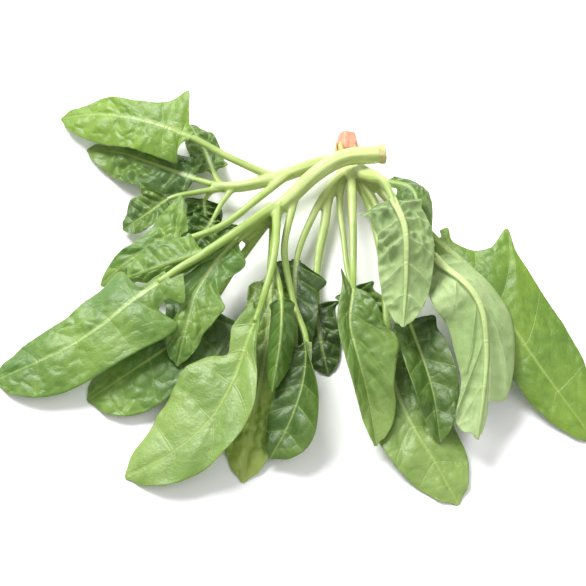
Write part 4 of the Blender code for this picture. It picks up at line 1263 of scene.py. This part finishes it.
@dataclass
class LeafBlade:
    """One blade as a fine closed sheet with its veins, puckers and waved margin."""

    laid: Laid
    number: int
    skins: LeafSkins
    rib_columns: tuple[float, ...] = (0.0, 0.35, 0.65, 0.88, 1.0)
    lamina_columns: int = 20
    thickness: float = 0.62 * MM
    margin_thickness: float = 0.3 * MM
    vein_bow: float = 1.22
    groove: float = 0.5 * MM
    round_tip: float = 0.7
    blunt_end: float = 0.78
    tip_reach: float = 0.972  # where the margin ends, along the blade
    tip_fall: float = 2.6  # more makes the tip blunter
    last_root_shift: float = 0.025
    margin_grain: float = 0.5 * MM
    least_lamina: float = 0.9 * MM
    column_crowding: float = 0.92
    cell: float = 9 * MM
    least_crumple: float = 0.42
    crumple_by_pucker: float = 1.1
    plain_pucker: float = 1.2
    patch: float = 34 * MM
    buckle: float = 24 * MM
    buckle_height: float = 1.1 * MM
    dimple: float = 4.5 * MM
    ruffle: float = 15 * MM
    crease_width: float = 1.6 * MM
    channel_depth: float = 0.16  # shares of the rib's depth and half width
    channel_width: float = 0.4
    vein_width: Point = (0.6, 0.3)  # millimetres at the rib, and what it loses by the margin
    sheet: Sheet = field(init=False)

    def __post_init__(self) -> None:
        """Sets the sheet that the blade follows."""
        self.sheet = Sheet(self.laid.spec, self.laid.route, self.laid.base)

    @property
    def leaf(self) -> Leaf:
        """The leaf's own sizes."""
        return self.laid.spec

    @property
    def rows(self) -> int:
        """Lines of points across the blade, more on a long one."""
        return 12 * (9 if self.sheet.length > 80 * MM else 6) + 1

    def outline(self, side: Side, sign: int) -> dict[str, Array]:
        """One half's grid of flat places.

        Args:
            side: the half.
            sign: 1 for the left half and -1 for the right.

        Returns:
            The flat places a and b, the line number t, the share of the way out, the rib's half
            width and the margin's distance, each over the grid.
        """
        leaf, length = self.leaf, self.sheet.length
        t = np.linspace(0, VEIN_ROWS - 1, self.rows)
        root = through(vein_roots(length), t)[:, None]
        root = root * (1 + self.last_root_shift * (t[:, None] / (VEIN_ROWS - 1)) ** 6)
        stations = margin(length, side)
        belly = (len(side.ear) or PLAIN_EAR) - 1
        width = stations[belly, 1]
        stations[belly:, 1] = width * (stations[belly:, 1] / width) ** self.blunt_end
        stations[-1] = (self.tip_reach * length, self.round_tip * stations[-2, 1])
        edge = through(stations, t)
        along, out = edge[:, :1], edge[:, 1:]
        rib = RIB_SPREAD * rib_radius(root, length, leaf)
        beside = leaf.radii[1] * MM + NOTCH_CLEARANCE
        inner = rib + (beside - rib) * ease(0, 1.5 * MM, -along)
        seed = np.stack([t / 3, np.full_like(t, self.number * 3.1), np.full_like(t, sign * 5.0)], axis=1)
        out = out + self.margin_grain * grain(seed, 1.0)[:, None] * ease(1, 3, t)[:, None]
        late = np.clip(t - (VEIN_ROWS - 2), 0, 1)[:, None]
        out = inner + np.maximum(out - inner, self.least_lamina) * np.sqrt(1 - 0.98 * late**self.tip_fall)
        reach = np.linspace(0, 1, self.lamina_columns + 1)[None, 1:] ** self.column_crowding
        on_rib = rib * np.array(self.rib_columns)[None]
        b = np.concatenate([on_rib, inner + (out - inner) * reach], axis=1)
        share = np.concatenate([0 * on_rib, np.broadcast_to(reach, (self.rows, self.lamina_columns))], axis=1)
        a = root + (along - root) * share**self.vein_bow
        line = np.broadcast_to(t[:, None], a.shape)
        return {"a": a, "b": b, "t": line, "share": share, "rib": 0 * a + rib, "out": 0 * a + out}

    def half(self, side: Side, sign: int) -> dict[str, Array]:
        """One half's sheets of points and what its finish reads.

        Args:
            side: the half.
            sign: 1 for the left half and -1 for the right.

        Returns:
            Upper and lower points, and the values kept on the mesh.
        """
        leaf, length = self.leaf, self.sheet.length
        grid = self.outline(side, sign)
        a, b, t, share, ribs, out = (grid[k] for k in ("a", "b", "t", "share", "rib", "out"))
        flat = np.stack([a, sign * b, np.full_like(a, 0.37 * self.number)], axis=-1)
        room = np.clip(out / (0.5 * side.width * MM), 0, 1) ** 2
        arch = np.sin(math.pi * share**SWELL_LEAN)
        swell = leaf.pucker * MM * np.sin(math.pi * t / 2) ** 2 * arch
        ripple = leaf.wave * MM * share**2 * np.sin(2 * math.pi * WAVES_PER_LEAF * t / VEIN_ROWS + sign)
        lamina = ease(0, 0.2, share)
        crisp = leaf.crisp[0] + (leaf.crisp[1] - leaf.crisp[0]) * np.clip(a / length, 0, 1)
        crumple = self.least_crumple + self.crumple_by_pucker * (leaf.pucker - self.plain_pucker)
        crumple = crumple * MM * crisp
        web = webbing(flat, self.cell)
        patchy = 0.3 + 0.9 * ease(-0.3, 0.35, grain(flat + 1.0, self.patch))
        blister = crumple * patchy * (1.5 * ease(0, 0.45, web) - 0.8) * lamina
        blister = blister + self.buckle_height * crisp * grain(flat, self.buckle) * lamina
        dimple = 0.42 * crumple * patchy * grain(flat, self.dimple) * lamina
        ruffle = 1.1 * leaf.wave * MM * crisp * share**3 * grain(flat, self.ruffle)
        spread = np.hypot(np.gradient(a, axis=0), np.gradient(b, axis=0)) * (self.rows - 1) / (VEIN_ROWS - 1)
        from_vein = np.abs(t - 2 * np.round(t / 2)) * spread
        vein_width = (self.vein_width[0] - self.vein_width[1] * share) * MM
        past_base = t > 0.5
        valley = np.exp(-((from_vein / self.crease_width) ** 2))
        crease = self.groove * (1.2 - share) * valley * lamina * past_base
        rib = rib_radius(a, length, leaf)
        face = leaf.face.value
        relief = face * ((swell + blister + dimple - crease) * room + rib - BLADE_THICKNESS / 2)
        relief = relief + (ripple + ruffle) * room
        middle, normal = self.sheet.place(side, sign, a, b, relief)
        middle[..., 2] += self.lift(sign, t, share)
        thick = self.margin_thickness + (self.thickness - self.margin_thickness) * (1 - share**4)
        on_rib = np.clip(1 - (b / ribs) ** 2, 0, 1)
        ridge = np.clip(2 * rib - BLADE_THICKNESS, 0, None) * np.sqrt(on_rib)
        channel = self.channel_depth * rib * np.exp(-((b / (self.channel_width * ribs)) ** 2)) * (share == 0)
        vein_ridge = 0.8 * crease
        above = thick / 2 - channel
        below = thick / 2 + ridge + vein_ridge
        if face < 0:
            above, below = below, above
        upper = middle + normal * above[..., None]
        lower = middle - normal * below[..., None]
        return {
            "upper": upper,
            "lower": lower,
            "flat": flat,
            "vein": np.where(past_base, from_vein / vein_width, 9.0),
            "web": web,
            "beyond": b / ribs,
            "rim": (out - b) / MM,
            "tip": np.clip(a / length, 0, 1),
            # the painted shade of the leaf, from its base to its tip
            "deeper": leaf.deeper[0] + (leaf.deeper[1] - leaf.deeper[0]) * np.clip(a / length, 0, 1),
        }

    def lift(self, sign: int, t: Array, share: Array) -> Array:
        """How far the heap lifts each place of one half.

        Args:
            sign: 1 for the left half and -1 for the right.
            t: line numbers.
            share: shares of the way out.

        Returns:
            One lift per place.
        """
        held = self.laid.half_lifts(sign)
        rows = through(held, t[:, 0])
        places = np.concatenate([[-0.02], np.linspace(0, 1, held.shape[1] - 1)])
        return np.stack([np.interp(s, places, row) for s, row in zip(share, rows)])

    def mesh(self) -> bpy.types.Mesh:
        """Joins both halves and both faces into one closed mesh.

        Returns:
            The blade's mesh.
        """
        left, right = self.half(self.leaf.left, 1), self.half(self.leaf.right, -1)
        whole = {k: np.concatenate([right[k][:, :0:-1], left[k]], axis=1) for k in left}
        rows, columns = whole["upper"].shape[:2]
        count = rows * columns
        index = np.arange(count).reshape(rows, columns)
        corners = [index[:-1, :-1], index[1:, :-1], index[1:, 1:], index[:-1, 1:]]
        quads = np.stack(corners, axis=-1).reshape(-1, 4)
        # The columns run from the right margin to the left one, so this order faces up.
        top = quads[:, ::-1]
        rim = np.concatenate([index[0, :], index[1:, -1], index[-1, -2::-1], index[-2:0:-1, 0]])
        after = np.roll(rim, -1)
        wall = np.stack([rim, after, after + count, rim + count], axis=-1)
        faces = [tuple(q) for q in np.concatenate([top, quads + count, wall]).tolist()]
        points = np.concatenate([whole["upper"].reshape(-1, 3), whole["lower"].reshape(-1, 3)])
        mesh = mesh_of(f"leaf_{self.leaf.name}", points, faces)
        order = np.repeat([0, 1, 0], [len(top), len(quads), len(wall)])
        mesh.polygons.foreach_set("material_index", order)
        for key in ("flat", "vein", "web", "beyond", "rim", "tip", "deeper"):
            values = whole[key].reshape(count, -1).squeeze()
            keep(mesh, key, np.concatenate([values, values]))
        fix_normals(mesh)
        return mesh

    def dress(self, mesh: bpy.types.Mesh) -> None:
        """Gives the blade its two faces' finishes.

        Args:
            mesh: the blade's mesh.
        """
        faces = list(Face) if self.leaf.face is Face.UPPER else list(Face)[::-1]
        for face in faces:
            mesh.materials.append(self.skins.get(self.leaf.tone, face))

    def build(self) -> bpy.types.Object:
        """Makes the blade in place of its solid.

        Returns:
            The piece.
        """
        mesh = self.mesh()
        self.dress(mesh)
        name = self.leaf.name
        return add_piece(f"leaf_{name}", mesh, f"blade_{name}")


def fix_normals(mesh: bpy.types.Mesh) -> None:
    """Turns every face outwards.

    Args:
        mesh: the mesh, changed in place.
    """
    work = bmesh.new()
    work.from_mesh(mesh)
    bmesh.ops.recalc_face_normals(work, faces=work.faces)
    work.to_mesh(mesh)
    work.free()


@dataclass
class Stalks:
    """One plant's stalks and petioles, grown together into one skin."""

    plant: Plant
    laid: list[Laid]
    skin: bpy.types.Material
    sides: int = 20
    step: float = 1.2 * MM
    voxel: float = 0.7 * MM
    into_blade: float = 7 * MM
    flare: float = 0.22
    flare_length: float = 9 * MM
    greens_over: float = 150 * MM
    entry_taper: float = 0.25
    flat_top: float = 0.5
    channel: float = 0.3
    channel_width: float = 0.4
    ridges: int = 7
    ridge_depth: float = 0.06
    wobble: float = 0.35 * MM
    wobble_length: float = 25 * MM
    fibre_stretch: float = 0.12
    soften_rounds: int = 5

    def profile(self, piece: Laid, s: Array) -> Array:
        """Rings of one stem: round at its root, flat-topped and channelled at its blade.

        Args:
            piece: the stem.
            s: distances along it.

        Returns:
            The corners, ring by ring.
        """
        spec = piece.spec
        is_leaf = isinstance(spec, Leaf)
        face = spec.face.value if is_leaf else 1
        radius = stem_radius(s, piece.base, spec.radii)
        if is_leaf:
            radius = radius * (1 + self.flare * np.exp(-s / self.flare_length))
            radius = radius * (1 - self.entry_taper * ease(piece.base, piece.base + self.into_blade, s))
        _, left, up = piece.stem.frame(s)
        turn = 2 * math.pi * (np.arange(self.sides) + 0.5) / self.sides
        x, y = np.cos(turn)[None], np.sin(turn)[None]
        flat = (ease(0, piece.base, s) * (self.flat_top if is_leaf else 0.0))[:, None]
        top = np.clip(y, 0, 1) ** (1 - flat) + np.minimum(y, 0)
        top = top - self.channel * flat * np.exp(-((x / self.channel_width) ** 2)) * (y > 0)
        ridge_turn = self.ridges * turn[None] + 0.6 * len(spec.name)
        ribbed = 1 + self.ridge_depth * np.cos(ridge_turn) * (1 - flat)
        x, y = x * ribbed * radius[:, None], top * ribbed * radius[:, None]
        seed = np.stack([s, np.ones_like(s), np.full_like(s, len(spec.name))], axis=1)
        x = x + self.wobble * grain(seed, self.wobble_length)[:, None]
        places = piece.stem.place(s)[:, None]
        return places + x[..., None] * left[:, None] + (face * y)[..., None] * up[:, None]

    def tubes(self) -> bpy.types.Mesh:
        """All stems of the plant as overlapping closed tubes in one mesh.

        Returns:
            The mesh.
        """
        points: list[Array] = []
        faces: list[tuple[int, ...]] = []
        start = 0
        for piece in self.laid:
            end = piece.base + (self.into_blade if isinstance(piece.spec, Leaf) else 0)
            s = np.linspace(0, end, max(4, round(end / self.step)) + 1)
            rings = self.profile(piece, s)
            faces += tube_faces(*rings.shape[:2], start)
            points.append(rings.reshape(-1, 3))
            start += len(points[-1])
        mesh = mesh_of("stems", np.concatenate(points), faces)
        fix_normals(mesh)
        return mesh

    def join(self, mesh: bpy.types.Mesh) -> bpy.types.Mesh:
        """Grows the tubes together and softens where they meet.

        Args:
            mesh: the overlapping tubes.

        Returns:
            One closed skin.
        """
        work = bpy.data.objects.new("growing", mesh)
        bpy.context.scene.collection.objects.link(work)
        grow = work.modifiers.new("grow", "REMESH")
        grow.mode = "VOXEL"
        grow.voxel_size = self.voxel
        grow.use_smooth_shade = True
        soften = work.modifiers.new("soften", "SMOOTH")
        soften.factor = 0.5
        soften.iterations = self.soften_rounds
        grown = work.evaluated_get(bpy.context.evaluated_depsgraph_get())
        made = bpy.data.meshes.new_from_object(grown)
        bpy.data.objects.remove(work)
        return made

    def mark(self, mesh: bpy.types.Mesh) -> None:
        """Keeps on the skin how far it is from the root, and its place around and along its stem.

        Args:
            mesh: the skin.
        """
        places, lefts, ups, along = [], [], [], []
        for piece in self.laid:
            s = np.arange(0, piece.base + self.into_blade, ROUTE_STEP)
            _, left, up = piece.stem.frame(s)
            places.append(piece.stem.place(s))
            lefts.append(left)
            ups.append(up)
            along.append(s)
        place, left, up, along = (np.concatenate(x) for x in (places, lefts, ups, along))
        tree = KDTree(len(place))
        for k, p in enumerate(place):
            tree.insert(p, k)
        tree.balance()
        points = np.empty(len(mesh.vertices) * 3, np.float32)
        mesh.vertices.foreach_get("co", points)
        points = points.reshape(-1, 3).astype(float)
        near = np.array([tree.find(p)[1] for p in points])
        off = points - place[near]
        fibre = np.stack(
            [self.fibre_stretch * along[near], (off * left[near]).sum(1), (off * up[near]).sum(1)], axis=1
        )
        root = self.laid[0].stem.points[0]
        keep(mesh, "fibre", fibre)
        keep(mesh, "away", np.clip(np.linalg.norm(points - root, axis=1) / self.greens_over, 0, 1))

    def build(self) -> bpy.types.Object:
        """Makes the stalks in place of their solid.

        Returns:
            The piece.
        """
        mesh = self.join(self.tubes())
        self.mark(mesh)
        mesh.materials.clear()
        mesh.materials.append(self.skin)
        name = self.plant.value
        return add_piece(f"{name}_skin", mesh, name)


@dataclass
class Stub:
    """A short stub of root or stalk, turned round an axis: the crown or the cut end."""

    name: str
    node: str
    start: Array
    ahead: Array
    left: Array
    up: Array
    stations: tuple[Point, ...]  # (distance, radius) along the skin, then over the cut face
    cut_from: int
    ribs: int
    rib_depth: float
    rough: float
    skin: bpy.types.Material
    floor: float = -1.0
    sides: int = 72

    def mesh(self) -> bpy.types.Mesh:
        """The stub's closed mesh.

        Returns:
            The mesh, with what its finish reads.
        """
        stations = np.array(self.stations, float) * MM
        turn = 2 * math.pi * np.arange(self.sides) / self.sides
        last = max(r for _, r in self.stations) * MM
        points, cut, core = [], [], []
        for k, (along, radius) in enumerate(stations):
            on_skin = 1.0 if k < self.cut_from else radius / last
            ribbed = radius * (1 + self.rib_depth * np.cos(self.ribs * turn) * on_skin)
            circle = np.stack([0 * turn + along, ribbed * np.cos(turn), ribbed * np.sin(turn)], axis=1)
            wear = self.rough * MM * (grain(circle, 3 * MM) + 0.5 * grain(circle + 1, 1.2 * MM))
            shrink = 1 + wear / np.maximum(ribbed, 1 * MM)
            sink = wear * (0.8 if k >= self.cut_from else 0.2)
            place = (
                self.start
                + (along + sink)[:, None] * self.ahead
                + (ribbed * np.cos(turn) * shrink)[:, None] * self.left
                + (ribbed * np.sin(turn) * shrink)[:, None] * self.up
            )
            place[:, 2] = np.maximum(place[:, 2], self.floor)
            points.append(place)
            cut.append(np.full(self.sides, float(k >= self.cut_from)))
            core.append(np.full(self.sides, radius / last))
        faces = tube_faces(len(stations), self.sides)
        mesh = mesh_of(self.name, np.concatenate(points), faces)
        fix_normals(mesh)
        keep(mesh, "place", np.concatenate(points))
        keep(mesh, "cut", np.concatenate(cut))
        keep(mesh, "core", np.concatenate(core))
        return mesh

    def build(self) -> bpy.types.Object:
        """Makes the stub in place of its solid.

        Returns:
            The piece.
        """
        mesh = self.mesh()
        mesh.materials.append(self.skin)
        return add_piece(self.name, mesh, self.node)


@dataclass
class CrownScales:
    """Dried stubs of old leaf bases that hug the crown."""

    skin: bpy.types.Material
    turns: tuple[float, ...] = (-6, 58, 122, 168, 190)  # degrees round the crown, over its top
    lengths: tuple[float, ...] = (10, 5.5, 7.5, 11, 7)
    start: float = -10 * MM
    axis_height: float = 5.6 * MM
    out: float = 6.7 * MM
    width: float = 2.1 * MM
    thick: float = 0.45 * MM
    sides: int = 16
    steps: int = 16

    def scale(self, turn: float, length: float) -> Array:
        """The rings of one scale, from its root to its torn end.

        Args:
            turn: its angle round the crown.
            length: its length in millimetres.

        Returns:
            The corners, ring by ring.
        """
        outwards = np.array([math.cos(turn), 0.0, math.sin(turn)])
        across = np.array([-math.sin(turn), 0.0, math.cos(turn)])
        ahead = np.array([0.0, 1.0, 0.0])
        k = np.linspace(0, 1, self.steps)[:, None]
        lift = self.out + (0.9 * np.sin(math.pi * k) ** 2 + 1.3 * k**3) * MM
        lean = 0.8 * MM * np.sin(3 * turn + 2 * k)
        middle = np.array([0.0, self.start, self.axis_height]) + lift * outwards + k * length * MM * ahead
        middle = middle + lean * across
        round_by = 2 * math.pi * np.arange(self.sides) / self.sides
        wide = self.width * (1 - 0.7 * k**2) * (0.6 + 0.4 * np.minimum(1, 4 * k))
        deep = self.thick * (1.2 - 0.8 * k)
        cup = 0.25 * wide * np.cos(round_by)[None] ** 2
        sideways = (wide * np.cos(round_by)[None])[..., None] * across
        outer = (deep * np.sin(round_by)[None] - cup)[..., None] * outwards
        return middle[:, None] + sideways + outer

    def build(self) -> bpy.types.Object:
        """Makes all scales as one piece.

        Returns:
            The piece.
        """
        points: list[Array] = []
        faces: list[tuple[int, ...]] = []
        for number, (turn, length) in enumerate(zip(self.turns, self.lengths)):
            rings = self.scale(math.radians(turn), length)
            rings = rings + 0.15 * MM * grain(rings + number, 2.5 * MM)[..., None]
            faces += tube_faces(*rings.shape[:2], number * self.steps * self.sides)
            points.append(rings.reshape(-1, 3))
        places = np.concatenate(points)
        mesh = mesh_of("crown_scales", places, faces)
        fix_normals(mesh)
        keep(mesh, "place", places)
        for name in ("cut", "core"):
            keep(mesh, name, np.zeros(len(places)))
        mesh.materials.append(self.skin)
        return add_piece("crown_scales", mesh, None)


@dataclass
class Studio:
    """The plain pale floor, the soft light and the camera."""

    target: Point = (-0.034, -0.110, 0.010)
    distance: float = 1.4
    elevation: float = 60.0
    lens: float = 143.3
    floor_size: float = 6.0
    floor_colour: Colour = (0.93, 0.93, 0.925)
    sky: float = 0.62

    def floor(self) -> None:
        """Lays the floor just under the leaves."""
        half = self.floor_size / 2
        corners = np.array([(-half, -half, 0), (half, -half, 0), (half, half, 0), (-half, half, 0)], float)
        mesh = mesh_of("floor", corners, [(0, 1, 2, 3)])
        tree = Tree("floor_paint")
        place = tree.node("ShaderNodeNewGeometry", {}, {}, 0)
        cloud = tree.cloud(place, 40.0, 3.0)
        tree.finish(
            tree.tint(cloud * 0.3, self.floor_colour, tuple(0.99 * c for c in self.floor_colour)),
            0.85 + 0.05 * cloud, cloud, 0.02 * MM, {"Specular IOR Level": 0.2},
        )
        mesh.materials.append(tree.material)
        piece = bpy.data.objects.new("floor", mesh)
        bpy.context.scene.collection.objects.link(piece)

    def lamp(self, name: str, place: Point, size: float, power: float) -> None:
        """Hangs one soft square lamp that looks at the bunch.

        Args:
            name: the lamp's name.
            place: where it hangs.
            size: its width.
            power: its power in watts.
        """
        light = bpy.data.lights.new(name, "AREA")
        light.size = size
        light.energy = power
        held = bpy.data.objects.new(name, light)
        held.location = place
        held.rotation_mode = "QUATERNION"
        held.rotation_quaternion = (Vector(self.target) - Vector(place)).to_track_quat("-Z", "Y")
        bpy.context.scene.collection.objects.link(held)

    def camera(self) -> None:
        """Sets the camera at the photographed angle."""
        rise = math.radians(self.elevation)
        back = Vector((0, -math.cos(rise), math.sin(rise)))
        view = bpy.data.cameras.new("camera")
        view.lens = self.lens
        view.sensor_width = 36.0
        held = bpy.data.objects.new("camera", view)
        held.location = Vector(self.target) + self.distance * back
        held.rotation_mode = "QUATERNION"
        held.rotation_quaternion = (-back).to_track_quat("-Z", "Y")
        bpy.context.scene.collection.objects.link(held)
        bpy.context.scene.camera = held

    def build(self) -> None:
        """Sets the whole stage."""
        scene = bpy.context.scene
        scene.view_settings.view_transform = "Standard"
        world = bpy.data.worlds.new("studio")
        scene.world = world
        world.use_nodes = True
        world.node_tree.nodes["Background"].inputs[0].default_value = (1.0, 1.0, 1.0, 1.0)
        world.node_tree.nodes["Background"].inputs[1].default_value = self.sky
        self.floor()
        self.lamp("key", (-0.75, 1.0, 1.5), 1.0, 62.0)
        self.lamp("fill", (0.9, -0.6, 1.4), 1.2, 6.0)
        self.camera()


@dataclass
class Bunch:
    """The whole bunch, laid leaf by leaf."""

    laid: list[Laid] = field(default_factory=list)
    skins: LeafSkins = field(default_factory=LeafSkins)

    def lay(self) -> None:
        """Lays every stalk and leaf, from the table up."""
        heap = Heap()
        self.laid = [Laid(heap, spec) for spec in BUNCH]

    def crown(self) -> Stub:
        """The red root crown, with its worn cut at the back.

        Returns:
            The crown, not yet built.
        """
        pink = RootSkin(
            "crown_skin", sRGB(206, 134, 114), sRGB(208, 164, 124), sRGB(214, 182, 148), sRGB(186, 112, 92)
        )
        start = np.array([0.0, -7 * MM, 5.6 * MM])
        stations = (
            (0, 5.6), (0.8, 6.3), (2.5, 6.55), (4.7, 6.7), (6.5, 6.55), (8.5, 6.35), (10.5, 5.9), (12, 5.5),
            (13.0, 5.3), (13.7, 5.1), (14.0, 4.6), (13.9, 3.6), (13.6, 2.4), (13.3, 1.1), (13.2, 0.3),
        )
        return Stub(
            "crown", "crown_red", start,
            ahead=np.array([0.0, 1.0, 0.0]), left=np.array([-1.0, 0.0, 0.0]), up=np.array([0.0, 0.0, 1.0]),
            stations=stations, cut_from=10, ribs=5, rib_depth=0.06, rough=0.55, skin=pink.make(), floor=0.0,
        )

    def cut_end(self, stalk: Laid) -> Stub:
        """The browned slice at the pale stalk's root end.

        Args:
            stalk: the pale stalk as it lies.

        Returns:
            The slice, not yet built.
        """
        tan = RootSkin(
            "cut_skin", sRGB(186, 172, 118), sRGB(196, 200, 136), sRGB(196, 186, 134), sRGB(166, 128, 92)
        )
        _, left, up = stalk.stem.frame(np.array([0.0]))
        back = -np.cross(left, up)[0]
        start = stalk.stem.points[0] - back * 0.6 * MM
        stations = (
            (0, 5.5), (0.6, 5.75), (1.4, 5.85), (2.4, 6.0), (3.2, 6.05), (3.8, 5.9), (4.0, 5.5),
            (3.95, 4.6), (3.7, 3.4), (3.5, 2.0), (3.4, 0.4),
        )
        return Stub(
            "cut_end", "cut_end_pale", start, back, left[0], up[0],
            stations, cut_from=6, ribs=7, rib_depth=0.03, rough=0.5, skin=tan.make(),
        )

    def build(self) -> None:
        """Makes every piece."""
        self.lay()
        for number, piece in enumerate(self.laid):
            if isinstance(piece.spec, Leaf):
                LeafBlade(piece, number, self.skins).build()
        skin = StalkSkin().make()
        for plant in Plant:
            own = [p for p in self.laid if p.spec.plant is plant]
            Stalks(plant, own, skin).build()
        self.crown().build()
        dark, light = sRGB(176, 172, 96), sRGB(196, 186, 124)
        straw = RootSkin("scale_skin", dark, light, light, dark)
        CrownScales(straw.make()).build()
        pale = next(p for p in self.laid if p.spec.name == "stem_pale")
        self.cut_end(pale).build()


def main() -> None:
    """Builds the bunch, its stage and its camera."""
    logging.basicConfig(level=logging.INFO, format="%(message)s")
    noise.seed_set(NOISE_SEED)
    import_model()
    Bunch().build()
    Studio().build()


if __name__ == "__main__":
    main()
